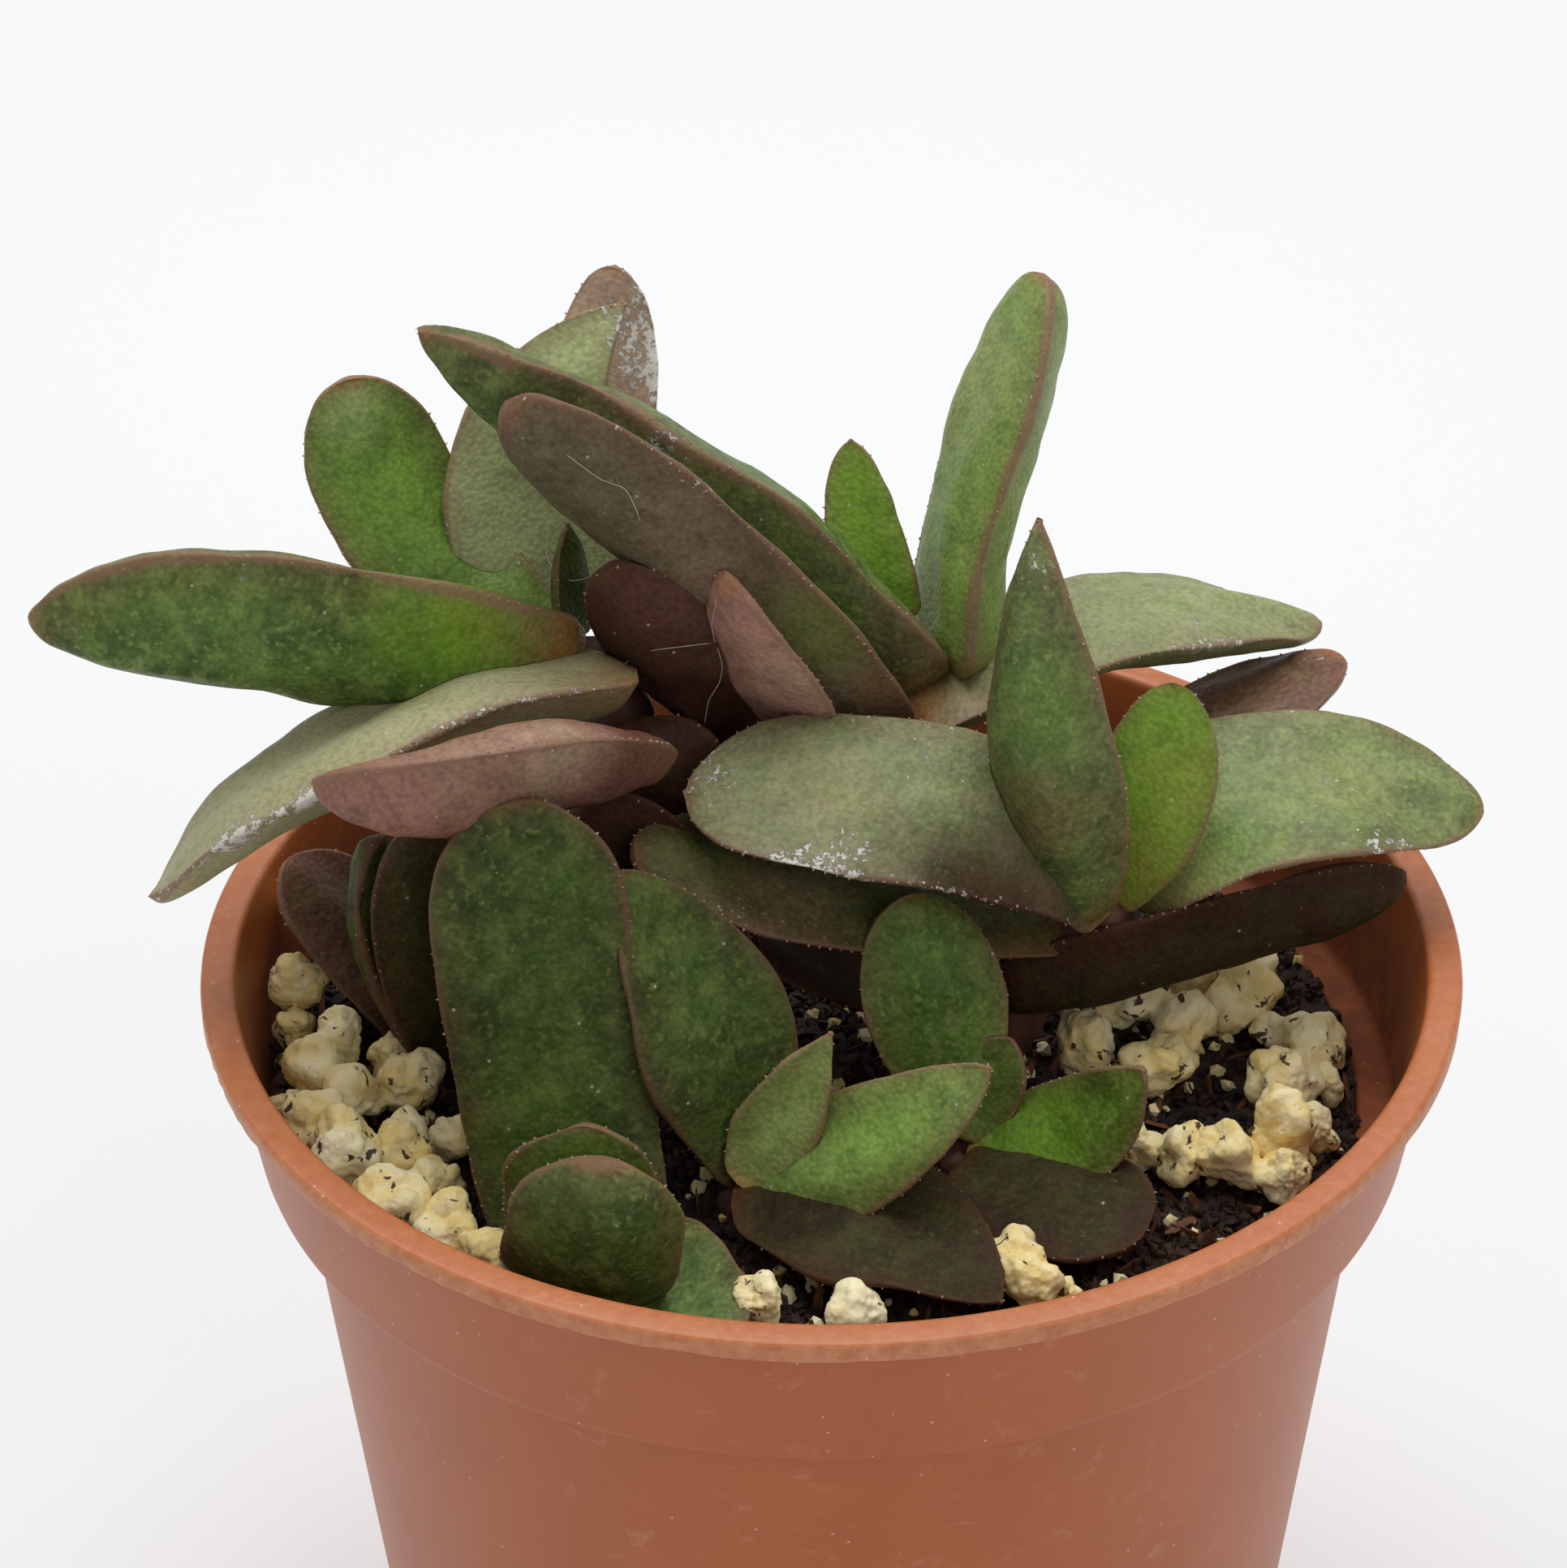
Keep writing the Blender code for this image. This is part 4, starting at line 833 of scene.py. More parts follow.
def blade_frames(spec, t):
    """Centre, heading, across and normal at each t."""
    way = unit(along(spec["spine"], np.minimum(1, t + 0.01)) - along(spec["spine"], np.maximum(0, t - 0.01)))
    across = unit(np.cross(way, np.array(spec["faces"], float)))
    return along(spec["spine"], t), way, across, np.cross(across, way)


def width_share(spec, t):
    """How wide the blade is at each t, as a share of its widest."""
    start, power = spec["tip"]
    share = spec["base"] + (1 - spec["base"]) * np.sin(np.minimum(1, t / spec["swell"]) * np.pi / 2)
    beyond = np.clip((t - start) / (1 - start), 0, 1)
    return share * (1 - beyond ** 2) ** power


def blade_section(spec, t, grow):
    """Across and normal offsets and outward angle of the section at each t.

    The offsets are the core outline pushed out by RIM_R. The foot is rounded off, where the solid
    is cut square. A narrow tip is never hollow, so that it doesn't fold over itself, nor is a
    cutter, so that it encloses its leaf.
    """
    near_foot = np.clip(1 - t / FOOT_SHARE, 0, 1)
    share = width_share(spec, t) * (FOOT_WIDTH + (1 - FOOT_WIDTH) * np.sqrt(1 - near_foot ** 2))
    depth = share ** 0.7
    half = np.maximum(spec["width"] / 2 * share + 2 * grow - RIM_R, 0.01)[:, None]
    rise = (spec["upper"] * depth + 1.5 * grow - RIM_R)[:, None]
    rise = np.maximum(rise, -HOLLOW_MOST * np.maximum(half - FLAT_BELOW, 0))
    if grow:
        rise = np.maximum(rise, 0)
    fall = np.maximum(spec["lower"] * depth + 1.5 * grow - RIM_R, 0.0)[:, None]
    s = -np.cos(np.linspace(0, np.pi, FACE_POINTS))[None, :]
    slope = np.clip(-2 * rise * s / half, -0.8, 0.8)
    tops = half * s, rise * (1 - s ** 2), np.arctan2(1.0, -slope)
    s = s[:, ::-1]
    side = np.where(s > KEEL, 1 - KEEL, 1 + KEEL)
    reach = np.abs(s - KEEL) / side
    slope = fall * RIDGE * np.sign(s - KEEL) * reach ** (RIDGE - 1) / side / half
    under = half * s, -fall * (1 - reach ** RIDGE), np.arctan2(-1.0, np.clip(slope, -3, 3))
    turn = np.linspace(0, 1, RIM_POINTS + 2)[None, 1:-1]
    right_turn = tops[2][:, -1:] * (1 - turn) + under[2][:, :1] * turn
    left_turn = (under[2][:, -1:] + 2 * np.pi) * (1 - turn) + tops[2][:, :1] * turn
    flat = np.ones_like(turn)
    level = 0 * half * flat
    parts = [tops, (half * flat, level, right_turn), under, (-half * flat, level, left_turn)]
    x, z, angle = (np.concatenate([np.broadcast_to(p[k], (len(t), p[k].shape[1])) for p in parts], axis=1)
                   for k in range(3))
    return x + RIM_R * np.cos(angle), z + RIM_R * np.sin(angle), angle


def dents(points, seed):
    """Soft unevenness of a living leaf, in millimetres."""
    shift = Vector((seed * 7.3, seed * 3.1, seed * 5.7))
    return np.array([DENT_DEPTH * noise.noise(Vector(p) * DENT_SCALE + shift)
                     + DIMPLE_DEPTH * noise.noise(Vector(p) * DIMPLE_SCALE + shift) for p in points])


def folds(across, lengths, seed):
    """Soft waves along a leaf that bend both of its faces alike, in millimetres."""
    return np.array([[FOLD_DEPTH * noise.noise(Vector((a * FOLD_ACROSS, b * FOLD_ALONG, seed * 3.7)))
                      for a in row] for row, b in zip(across, lengths)])


def make_blade(name, seed, grow=0.0):
    """The closed mesh of one leaf."""
    spec = LEAVES[name]
    t = 1 - (1 - np.arange(RINGS) / RINGS) ** 1.6
    centre, way, across, normal = blade_frames(spec, t)
    x, z, angle = blade_section(spec, t, grow)
    length = np.linalg.norm(np.diff(centre, axis=0), axis=1).sum()
    z = z + np.clip(4 * t, 0, 1)[:, None] * folds(x, t * length, seed)
    ring = centre[:, None] + across[:, None] * x[..., None] + normal[:, None] * z[..., None]
    sides = ring.shape[1]
    points = ring.reshape(-1, 3)
    out = across[:, None] * np.cos(angle)[..., None] + normal[:, None] * np.sin(angle)[..., None]
    points = points + out.reshape(-1, 3) * dents(points, seed)[:, None]
    ends = along(spec["spine"], np.array([0.0, 1.0]))
    ends += np.array([-way[0] * grow, way[-1] * (2 * grow + RIM_R * 0.5)])
    faces = ring_quads(RINGS, sides) + end_fans(RINGS, sides)
    obj = mesh_from(name + ("_cutter" if grow else "_blade"), np.vstack([points, ends]), faces)
    bm = bmesh.new()
    bm.from_mesh(obj.data)
    bmesh.ops.recalc_face_normals(bm, faces=bm.faces)
    tree = BVHTree.FromBMesh(bm)
    bm.to_mesh(obj.data)
    bm.free()
    return obj, tree


print("points round a leaf:", 2 * (FACE_POINTS + RIM_POINTS))

# %% [markdown]
# Where two leaves would cross, the later one in the table is cut away and only its main part is
# kept. The cut is made with a copy of the other that is a hair larger, so the two seem to touch. The
# pumice grains are cut back from the leaves in the same way.

# %% Build and trim the leaves
TOUCH = 0.02


def keep_main_part(mesh):
    """Drop every loose part but the one with the largest box round it."""
    bm = bmesh.new()
    bm.from_mesh(mesh)
    left = set(bm.verts)
    parts = []
    while left:
        seed = left.pop()
        part, stack = {seed}, [seed]
        while stack:
            for edge in stack.pop().link_edges:
                for vert in edge.verts:
                    if vert in left:
                        left.discard(vert)
                        part.add(vert)
                        stack.append(vert)
        low = [min(v.co[k] for v in part) for k in range(3)]
        high = [max(v.co[k] for v in part) for k in range(3)]
        parts.append((math.prod(high[k] - low[k] for k in range(3)), len(parts), part))
    main = max(parts)[2]
    bmesh.ops.delete(bm, geom=[v for v in bm.verts if v not in main], context="VERTS")
    bm.to_mesh(mesh)
    bm.free()


def trim(obj, obj_tree, cutters):
    """Cut an object back from each cutter that it meets, and say whether it met one."""
    met = [cutter for cutter, cutter_tree in cutters if obj_tree.overlap(cutter_tree)]
    for cutter in met:
        cut(obj, cutter)
    return bool(met)


blades, cutters = {}, []
for seed, name in enumerate(LEAVES):
    blade, blade_tree = make_blade(name, seed)
    if trim(blade, blade_tree, cutters):
        keep_main_part(blade.data)
    blades[name] = blade
    cutters.append(make_blade(name, seed, TOUCH))
for node in PUMICE:
    patch = bpy.data.objects[node + "_grains"]
    patch_tree = BVHTree.FromPolygons([v.co for v in patch.data.vertices],
                                      [p.vertices for p in patch.data.polygons])
    trim(patch, patch_tree, cutters)
    patch.data.shade_smooth()
for cutter, _ in cutters:
    bpy.data.objects.remove(cutter)
print("leaf triangles:", sum(len(p.vertices) - 2 for b in blades.values() for p in b.data.polygons))

# %% [markdown]
# ## Leaf colours
# No leaf has one colour. Each point of a leaf gets a few values: how far it is from the margin,
# how vivid, purple, grey, crusted or dark it is. The vivid glow is painted light shining through the
# leaf, and the darkening is partly a darker colour and partly painted shade. The values come from
# the leaf table and from marks that are aimed through the photograph onto the leaf that shows
# there. The skin material turns the values into colour, so it keeps its grain at any distance.

# %% Aim marks at the leaves
LOW, HIGH = (np.array(corner) for corner in CAD_BOX)


def points_of(mesh):
    """The points of a mesh, one to a row."""
    points = np.zeros(len(mesh.vertices) * 3)
    mesh.vertices.foreach_get("co", points)
    return points.reshape(-1, 3)


def hold_in_box(mesh):
    """Bring points that stand a hair outside the box of the solids back onto it."""
    mesh.vertices.foreach_set("co", np.clip(points_of(mesh), LOW, HIGH).ravel())


for blade in blades.values():
    hold_in_box(blade.data)
TREES = {}
for name, blade in blades.items():
    bm = bmesh.new()
    bm.from_mesh(blade.data)
    TREES[name] = BVHTree.FromBMesh(bm)
    bm.free()


def hit_leaf(px, py):
    """The leaf that shows at a point of the photograph, and where, in millimetres."""
    best = None
    for name, leaf_tree in TREES.items():
        spot, normal, _, distance = leaf_tree.ray_cast(EYE * MM, sight(px, py))
        if spot is not None and (best is None or distance < best[2]):
            best = (name, spot / MM, distance, normal)
    return best


# Marks by kind: point of the photograph, radius in millimetres and strength
MARKS = {
    # The glow marks paint light shining through the leaves.
    "glow": [(560, 745, 4.5, 0.9), (470, 620, 3.0, 0.3), (1040, 760, 4.0, 1.0), (1240, 600, 3.0, 0.5),
             (1190, 740, 3.0, 0.4), (1450, 1060, 2.0, 0.8), (1300, 870, 2.5, 0.3), (1520, 1040, 3.0, 0.4),
             (660, 1350, 4.0, 0.25), (1290, 1390, 3.0, 0.4), (1090, 1400, 3.0, 0.3), (700, 1090, 2.0, 0.1),
             (1440, 1010, 3.0, 0.4)],
    "rust": [(690, 790, 2.6, 0.6), (1100, 850, 2.5, 0.55), (1350, 1145, 2.0, 0.9), (1130, 860, 2.0, 0.9),
             (900, 720, 0.9, 1.0), (1642, 803, 1.0, 1.0), (740, 860, 2.5, 0.5), (1260, 1180, 2.0, 0.4)],
    "yellow": [(1400, 1060, 3.0, 0.8), (1020, 980, 3.0, 0.5), (1290, 1000, 2.5, 0.3), (1650, 960, 3.5, 0.3),
               (620, 780, 3.0, 0.3), (1450, 1090, 2.5, 0.5), (1450, 960, 2.5, 0.6)],
    "crust": [(1010, 1070, 2.6, 1.0), (880, 955, 1.8, 0.9), (1060, 1040, 1.5, 0.7), (1130, 930, 4.0, 0.5),
              (960, 1060, 1.5, 0.6), (1270, 690, 1.8, 0.7), (300, 695, 0.8, 0.8), (380, 985, 2.0, 0.9),
              (300, 1040, 2.5, 0.8), (790, 400, 3.0, 0.9), (800, 470, 3.0, 0.9), (760, 400, 1.5, 0.8),
              (1700, 1040, 3.0, 0.7), (1480, 770, 3.0, 0.6), (1625, 815, 1.2, 0.9), (820, 545, 1.6, 0.8),
              (870, 600, 1.2, 0.6), (600, 840, 3.0, 0.5), (1655, 950, 2.0, 0.5), (700, 930, 2.0, 0.4),
              (1160, 1060, 2.0, 0.5), (900, 1130, 2.0, 0.5), (1000, 1140, 2.0, 0.4), (760, 600, 2.0, 0.3)],
    "blush": [(1290, 1010, 3.0, 0.45), (1240, 980, 2.5, 0.35), (1250, 1110, 4.0, 0.5), (640, 860, 3.0, 0.3),
              (900, 1090, 3.0, 0.2), (560, 960, 4.0, 0.2), (760, 900, 3.0, 0.6), (1100, 800, 3.0, 0.3),
              (1200, 860, 4.0, 0.6)],
    # The dark marks are painted shade among the leaves.
    "dark": [(1250, 1112, 5.0, 1.0), (1150, 1092, 3.5, 0.6), (1330, 1130, 2.5, 0.5), (760, 960, 4.0, 0.5),
             (850, 880, 3.0, 0.7), (960, 890, 3.0, 0.4), (1000, 700, 2.5, 0.3), (700, 830, 3.0, 0.3),
             (700, 1490, 3.0, 0.5), (560, 1290, 4.0, 0.2), (990, 1480, 2.5, 0.4)],
    "pink": [(720, 925, 3.0, 0.8), (640, 905, 2.0, 0.4), (870, 720, 2.0, 0.5), (840, 640, 2.5, 0.25),
             (760, 520, 2.0, 0.2), (560, 960, 4.0, 0.3), (450, 970, 4.0, 0.4), (960, 800, 3.0, 0.4),
             (980, 1120, 3.0, 0.3), (820, 740, 2.5, 0.35)],
    "pale": [(700, 935, 3.0, 0.9), (560, 925, 2.5, 0.3), (930, 780, 3.0, 0.3), (430, 490, 2.5, 0.5),
             (1210, 470, 4.0, 0.3), (870, 950, 4.0, 0.4)],
    "bloom": [(620, 930, 4.0, 0.3), (980, 830, 3.0, 0.5), (700, 930, 2.5, 0.6), (980, 1010, 5.0, 0.3),
              (1600, 940, 5.0, 0.2)],
}
FEATURES = ("glow", "yellow", "blush", "pink", "bloom", "pale", "rust", "crust", "dark")
stains = []
for kind, marks in MARKS.items():
    for px, py, reach, strength in marks:
        found = hit_leaf(px, py)
        if found:
            stains.append((kind, found[0], found[1], reach, strength))
print("marks placed:", len(stains), "of", sum(len(marks) for marks in MARKS.values()))

# %% Values at each point of a leaf
SAMPLES = np.linspace(0, 1, 161)
# How strong the purple, rusty and crusted edges are, and how far they reach in mm or as a share
BLUSH_MOST, BLUSH_REACH = 0.4, 1.5
RUST_FOOT, RUST_FOOT_SHARE = 0.8, 0.10
RUST_TIP, RUST_TIP_SHARE = 0.7, 0.035
CRUST_MOST, CRUST_REACH = 0.9, 0.6


def leaf_values(name, mesh):
    """Distance from the margin, side and colour values at each point of a finished leaf."""
    spec = LEAVES[name]
    points = points_of(mesh) / MM
    centre, way, across, normal = blade_frames(spec, SAMPLES)
    near = np.array([np.argmin(((centre - p) ** 2).sum(1)) for p in points])
    off = points - centre[near]
    length = np.linalg.norm(np.diff(centre, axis=0), axis=1).sum()
    t = np.clip(SAMPLES[near] + (off * way[near]).sum(1) / length, 0, 1)
    half = spec["width"] / 2 * width_share(spec, t)
    aside = np.abs((off * across[near]).sum(1))
    values = {"edge": np.clip(np.minimum(half - aside, (1 - t) * length), 0, 9), "t": t}
    values["under"] = ((off * normal[near]).sum(1) < 0).astype(float)
    for kind in FEATURES:
        values[kind] = np.full(len(points), float(spec.get(kind, 0.0)))
    values["blush"] += BLUSH_MOST * np.clip(1 - values["edge"] / BLUSH_REACH, 0, 1)
    values["rust"] += RUST_FOOT * np.clip(1 - t / RUST_FOOT_SHARE, 0, 1)
    values["rust"] += RUST_TIP * np.clip(1 - (1 - t) / RUST_TIP_SHARE, 0, 1)
    values["crust"] += CRUST_MOST * spec["bloom"] * np.clip(1 - values["edge"] / CRUST_REACH, 0, 1)
    for kind, owner, spot, reach, strength in stains:
        if owner == name:
            near_spot = 1 - np.linalg.norm(points - np.array(spot), axis=1) / reach
            values[kind] += strength * np.clip(near_spot, 0, 1) ** 0.8
    return values


for name, blade in blades.items():
    for kind, numbers in leaf_values(name, blade.data).items():
        layer = blade.data.attributes.new(kind, "FLOAT", "POINT")
        layer.data.foreach_set("value", numbers.astype(np.float32))
print("values at each leaf point:", len(FEATURES) + 3)

# %% [markdown]
# Gasteria skin is a waxy cuticle over tiny bumps, which make it
# look velvety. Light through the wet tissue makes the young leaves glow, and the glow is painted in
# as a vivid green. The margins are horny and brown-pink, and hard water leaves white crusts.

# %% Leaf skin
def leaf_skin(name, dark, mid, light):
    """The skin material from its three greens or bronzes."""
    material, tree, mm = new_material(name)
    value = {kind: add(tree, "ShaderNodeAttribute", {"attribute_name": kind}).outputs["Fac"]
             for kind in FEATURES + ("edge", "under", "t")}
    base = colour(dark)
    for code, span, scale, detail, rough in ((mid, (0.35, 0.65, 0.0, 1.0), 0.3, 3.0, 0.6),
                                             (light, (0.44, 0.70, 0.0, 0.6), 0.9, 4.0, 0.55),
                                             (light, (0.58, 0.66, 0.0, 0.55), 2.6, 2.0, 0.5)):
        base = stained(tree, mm, base, code, span, Scale=scale, Detail=detail, Roughness=rough)
    # The glow step paints light shining through the leaf, as a vivid green.
    steps = (("glow", "#74a41a", 1.0), ("yellow", "#a89a3c", 0.7), ("pale", "#bcc488", 0.8),
             ("blush", "#73433a", 0.9), ("pink", "#c08f82", 0.8), ("bloom", "#a9a586", 0.6),
             ("rust", "#9c6034", 0.8))
    for kind, code, most in steps:
        amount = add(tree, "ShaderNodeTexNoise", mm, Scale=0.8, Detail=4.0, Roughness=0.65)
        amount = add(tree, "ShaderNodeMapRange", amount, 0.3, 0.7, 0.55, 1.35)
        amount = add(tree, "ShaderNodeMath", TIMES_HELD, amount,
                     value[kind])
        amount = add(tree, "ShaderNodeMath", TIMES, amount, most)
        base = add(tree, "ShaderNodeMix", COLOURS, amount, base, colour(code))
    # The bumps are drawn about 0.2 mm apart, as coarse as they need to be to show.
    bumps = add(tree, "ShaderNodeTexVoronoi", {"feature": "SMOOTH_F1"}, mm, Scale=4.6)
    bumps = bumps.outputs["Distance"]
    # The tops of the bumps are painted lighter, a painted highlight, and the pits between them darker,
    # painted shade.
    bump_highlight = add(tree, "ShaderNodeMapRange", bumps, 0.0, 0.75, 0.24, 0.0)
    lit = add(tree, "ShaderNodeMix", {"data_type": "RGBA", "blend_type": "SCREEN"}, bump_highlight, base,
              colour("#66733c"))
    pit_shade = add(tree, "ShaderNodeMapRange", bumps, 0.30, 0.85, 0.0, 0.3)
    base = add(tree, "ShaderNodeMix", {"data_type": "RGBA", "blend_type": "MULTIPLY"}, pit_shade, lit,
               colour("#40402e"))
    wobble = add(tree, "ShaderNodeTexNoise", mm, Scale=1.6, Detail=3.0)
    wobble = add(tree, "ShaderNodeMath", TIMES_PLUS, wobble, 0.42, 0.03)
    margin = add(tree, "ShaderNodeMapRange", {"interpolation_type": "SMOOTHSTEP"}, value["edge"],
                 wobble, 0.05, 0.0, 0.7)
    base = add(tree, "ShaderNodeMix", COLOURS, margin, base, colour("#8a6853"))
    # The dark value darkens the colour: partly a darker colour of low and old leaves, partly painted shade
    # among the leaves.
    dark_and_shade = add(tree, "ShaderNodeMath", {"operation": "MINIMUM"}, value["dark"], 1.0)
    base = add(tree, "ShaderNodeMix", {"data_type": "RGBA", "blend_type": "MULTIPLY"}, dark_and_shade, base,
               colour("#7d6450"))
    lime = add(tree, "ShaderNodeTexNoise", mm, Scale=2.6, Detail=5.0, Roughness=0.75)
    gate = add(tree, "ShaderNodeMath", TIMES_PLUS, value["crust"], -0.20, 0.67)
    top = add(tree, "ShaderNodeMath", {"operation": "ADD"}, gate, 0.06)
    lime = add(tree, "ShaderNodeMapRange", lime, gate, top, 0.0, 0.85)
    base = add(tree, "ShaderNodeMix", COLOURS, lime, base, colour("#d9d5cf"))
    dust = add(tree, "ShaderNodeTexVoronoi", mm, Scale=0.6).outputs["Distance"]
    dust = add(tree, "ShaderNodeMapRange", dust, 0.055, 0.03, 0.0, 0.45)
    base = add(tree, "ShaderNodeMix", COLOURS, dust, base, colour("#d9d5cf"))
    height = add(tree, "ShaderNodeMath", TIMES_PLUS, bumps, -0.6, lime)
    relief = add(tree, "ShaderNodeBump", Strength=0.8, Distance=0.00009, Height=height)
    rough = add(tree, "ShaderNodeMapRange", dark_and_shade, 0.0, 1.0, 0.46, 0.75)
    finish(tree, base, Roughness=rough, Normal=relief, Specular_IOR_Level=0.2, Subsurface_Weight=0.12,
           Subsurface_Radius=(0.5, 1.0, 0.2), Subsurface_Scale=0.0008)
    return material


SKINS = {"green": leaf_skin("waxy gasteria skin green", "#3a4f20", "#52702f", "#83994f"),
         "bronze": leaf_skin("waxy gasteria skin bronzed", "#433829", "#5a4c35", "#7f7656")}
for name, blade in blades.items():
    blade.data.materials.clear()
    blade.data.materials.append(SKINS[LEAVES[name]["skin"]])
    blade.data.shade_smooth()
    blade.data.set_sharp_from_angle(angle=math.radians(45))
    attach(blade, "root")
    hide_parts(name)
print("leaves with a skin:", len(blades))

# %% [markdown]
# ## Margin teeth
# Tiny horny teeth line each margin. They repeat along a path, so the margins are laid out as
# lines with an outward direction, and a node tree sets a cone on them at even steps.

# %% Teeth tree
teeth, given = new_tree("margin teeth", Spacing="Float", Seed="Int", Material="Material")
line = add(teeth, "GeometryNodeMeshToCurve", given["Geometry"])
line = add(teeth, "GeometryNodeResampleCurve", {"mode": "LENGTH"}, line, Length=given["Spacing"])
outward = add(teeth, "GeometryNodeInputNamedAttribute", {"data_type": "FLOAT_VECTOR"}, "out")
aim = add(teeth, "FunctionNodeAlignRotationToVector", {"axis": "Z"}, Vector=outward)
scale = add(teeth, "FunctionNodeRandomValue", 0.05, 0.5, Seed=given["Seed"])
cone = add(teeth, "GeometryNodeMeshCone", 5, 1, 1, 0.00002, 0.00016, 0.00028).outputs["Mesh"]
cones = add(teeth, "GeometryNodeInstanceOnPoints", line, Instance=cone, Rotation=aim, Scale=scale)
cones = add(teeth, "GeometryNodeRealizeInstances", cones)
end_tree(teeth, cones, given["Material"])

print("nodes that set teeth:", len(teeth.nodes))

horn, tree, mm = new_material("horny leaf margin")
# The teeth are dry and horny, pale pinkish brown, with the dull shine of a fingernail.
tint = add(tree, "ShaderNodeTexNoise", mm, Scale=0.4)
base = add(tree, "ShaderNodeMix", COLOURS, tint, colour("#8a6a55"), colour("#b59d88"))
finish(tree, base, Roughness=0.55)

# %% Margin lines and teeth
MARGIN_FROM, MARGIN_TO, MARGIN_STEPS = 0.12, 0.995, 60
MARGIN_INSET, MARGIN_NEAR = 0.05, 0.25
TOOTH_SPACING = 0.5
points, edges, outs = [], [], []
for name in LEAVES:
    spec = LEAVES[name]
    t = np.linspace(MARGIN_FROM, MARGIN_TO, MARGIN_STEPS)
    centre, way, across, normal = blade_frames(spec, t)
    half = spec["width"] / 2 * width_share(spec, t)
    for sign in (-1, 1):
        margin_line = centre + sign * across * (half - MARGIN_INSET)[:, None]
        run = unit(np.gradient(margin_line, axis=0))
        outward = unit(np.cross(run, normal) * -sign + 1e-9)
        outward *= np.sign((outward * across).sum(1) * sign + 1e-6)[:, None]
        held = None
        for p, o in zip(margin_line, outward):
            near = TREES[name].find_nearest(Vector(p) * MM, MARGIN_NEAR * MM)[0]
            if near is None:
                held = None
                continue
            points.append(tuple(near / MM))
            outs.append(o)
            if held is not None:
                edges.append((held, len(points) - 1))
            held = len(points) - 1
margins = mesh_from("margin_lines", points, [])
margins.data.clear_geometry()
margins.data.from_pydata([Vector(p) * MM for p in points], edges, [])
margins.data.attributes.new("out", "FLOAT_VECTOR", "POINT").data.foreach_set("vector", np.array(outs).ravel())
denticles = run_tree("margin_teeth", margins, teeth, Spacing=TOOTH_SPACING * MM, Seed=4, Material=horn)
hold_in_box(denticles.data)
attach(denticles, "root")

# %% [markdown]
# ## Stems
# The short stems hide among the leaf bases. They are wrapped in the dry brown remains of old
# leaves, so each is a rough tube with rings.

# %% Stems
STEMS = {
    "stem_a": ([(-2.5, 3.0, 34.0), (-5.5, 3.5, 48.0), (-10.5, 6.5, 61.0)], 2.0, 1.5),
    "stem_b": ([(2.0, 5.0, 34.0), (2.5, 6.5, 48.0), (4.5, 9.0, 59.0)], 2.0, 1.5),
    "stem_c": ([(5.5, 1.0, 34.0), (7.0, 0.5, 44.0), (12.5, 0.5, 51.5)], 2.0, 1.4),
    "stem_d": ([(-11.0, -13.5, 36.0), (-11.0, -14.0, 40.0), (-11.0, -14.5, 44.0)], 1.6, 1.2),
    "stem_e": ([(-4.0, -10.0, 36.0), (-4.0, -10.5, 40.0), (-4.0, -10.5, 44.0)], 1.5, 0.9),
    "stem_f": ([(5.5, -6.5, 36.0), (5.5, -6.5, 40.0), (5.5, -7.0, 43.5)], 1.4, 0.9),
    "stem_g": ([(-16.5, 0.5, 36.0), (-16.5, 0.5, 40.0), (-16.5, 0.5, 44.0)], 1.4, 1.0),
}
sheath, tree, mm = new_material("dry leaf sheath")
# Dry sheaths are papery, dark red-brown and streaked along the stem.
streak = add(tree, "ShaderNodeMapping", mm, Scale=(1.2, 1.2, 0.26))
streak = add(tree, "ShaderNodeTexNoise", streak, Scale=1.0, Detail=4.0)
base = add(tree, "ShaderNodeMix", COLOURS, streak, colour("#2b1512"), colour("#6e4330"))
relief = add(tree, "ShaderNodeBump", Strength=0.6, Distance=0.0001, Height=streak)
finish(tree, base, Roughness=0.65, Normal=relief)

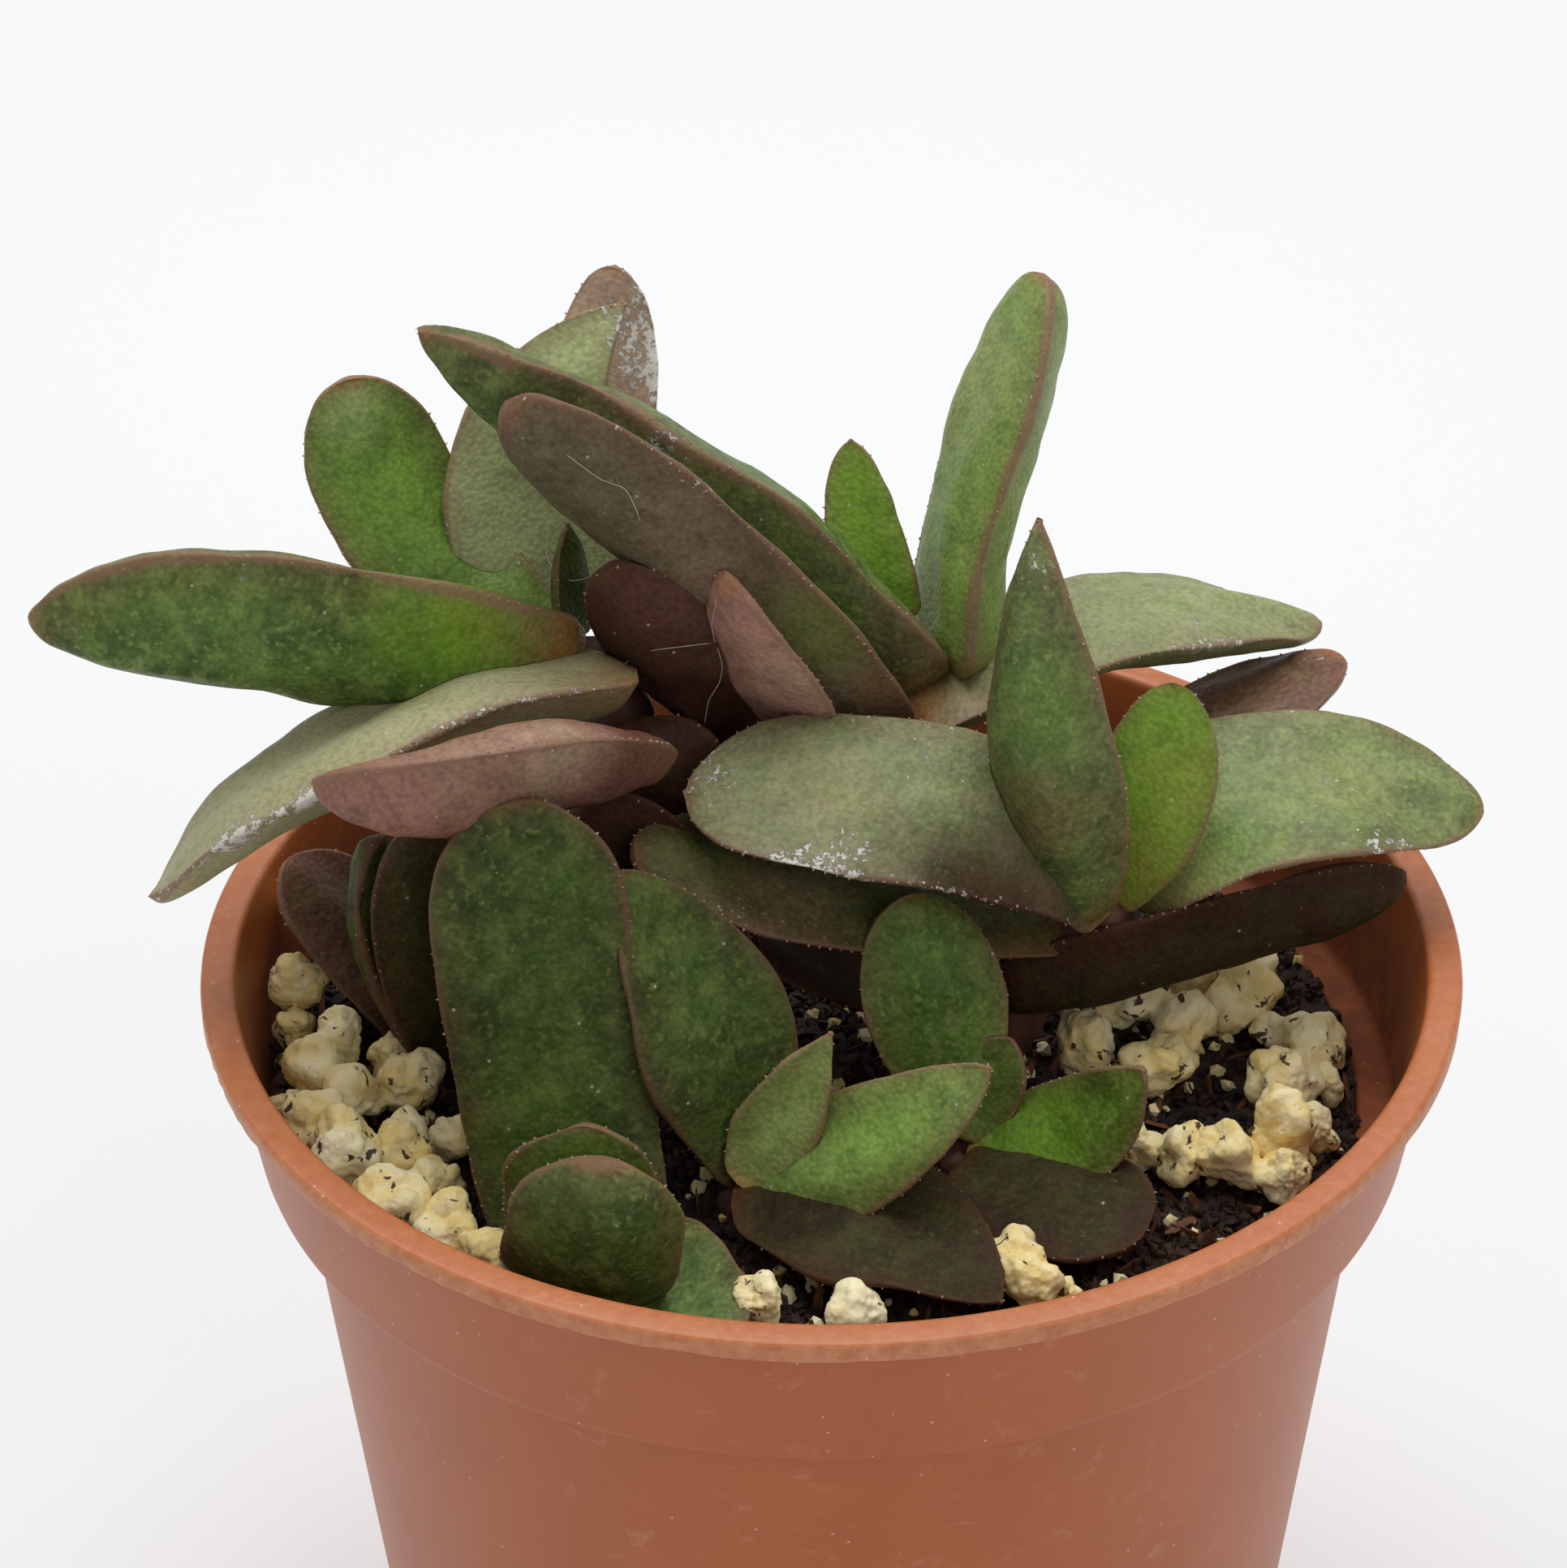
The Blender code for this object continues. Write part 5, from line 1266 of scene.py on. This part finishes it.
STEM_SIDES, STEM_RINGS = 24, 30
SCAR_EVERY, SCAR_DEPTH, SHEATH_ROUGH = 4, 0.06, 0.05
for name, (spine, foot_r, crown_r) in STEMS.items():
    t = np.linspace(0, 1, STEM_RINGS)
    centre = along(spine, t)

    def ringed(i, angle):
        """The sheathed stem's radius: a little less at each leaf scar, and rough all over."""
        bump = noise.noise(Vector(centre[i]) + Vector((3 * angle, 0, 0)))
        rough = 1.0 - SCAR_DEPTH * (i % SCAR_EVERY == 0) + SHEATH_ROUGH * bump
        return (foot_r + (crown_r - foot_r) * t[i]) * rough

    way, points = tube_rings(centre, (0.0, 1.0, 0.0), STEM_SIDES, ringed)
    points += [centre[0] - way[0] * foot_r * 0.6, centre[-1] + way[-1] * crown_r * 0.5]
    faces = ring_quads(STEM_RINGS, STEM_SIDES) + end_fans(STEM_RINGS, STEM_SIDES)
    stem = mesh_from(name + "_sheath", points, faces, sheath)
    closed_outward(stem.data)
    stem.data.shade_smooth()
    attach(stem, "root")
    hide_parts(name)
print("stems:", len(STEMS))

# %% [markdown]
# ## Threads of lint
# A few fine threads lie over the middle leaves. Each follows points of the photograph, which are
# dropped onto the leaf that shows there, and is swept into a thin tube.

# %% Lint threads
THREADS = [
    [(676, 640), (672, 690), (700, 720), (780, 690), (790, 640), (772, 600), (740, 590), (700, 560)],
    [(752, 850), (770, 815), (800, 800), (850, 794), (884, 790), (890, 820), (886, 840)],
    [(880, 790), (878, 770), (884, 740)],
    [(886, 840), (872, 862), (868, 890)],
]
THREAD_R, THREAD_SIDES, THREAD_LIFT = 0.014, 4, 0.08
POINTS_PER_SPOT, SMOOTHINGS = 8, 6
lint, tree, mm = new_material("cotton lint")
# Lint is a single pale fibre, dull all over.
shade = add(tree, "ShaderNodeTexNoise", mm, Scale=0.7)
base = add(tree, "ShaderNodeMix", COLOURS, shade, colour("#b5aaa0"), colour("#e6e0d8"))
finish(tree, base, Roughness=0.8)
lint_points, lint_faces = [], []
for path in THREADS:
    spots = []
    for px, py in path:
        found = hit_leaf(px, py)
        if found:
            spots.append(np.array(found[1]) + np.array(found[3]) * THREAD_LIFT)
    if len(spots) < 3:
        continue
    spots = np.array(spots)
    fine_t = np.linspace(0, len(spots) - 1, POINTS_PER_SPOT * len(spots))
    line = np.stack([np.interp(fine_t, np.arange(len(spots)), spots[:, k]) for k in range(3)], 1)
    for _ in range(SMOOTHINGS):
        line[1:-1] = (line[:-2] + 2 * line[1:-1] + line[2:]) / 4
    start = len(lint_points)
    lint_points += tube_rings(line, (0.3, 0.2, 1.0), THREAD_SIDES, lambda i, angle: THREAD_R)[1]
    lint_faces += ring_quads(len(line), THREAD_SIDES, start)
    lint_faces += [range(start, start + THREAD_SIDES)[::-1],
                   range(len(lint_points) - THREAD_SIDES, len(lint_points))]
threads = mesh_from("lint_threads", lint_points, lint_faces, lint)
closed_outward(threads.data)
threads.data.shade_smooth()
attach(threads, "root")
print("lint points:", len(threads.data.vertices))
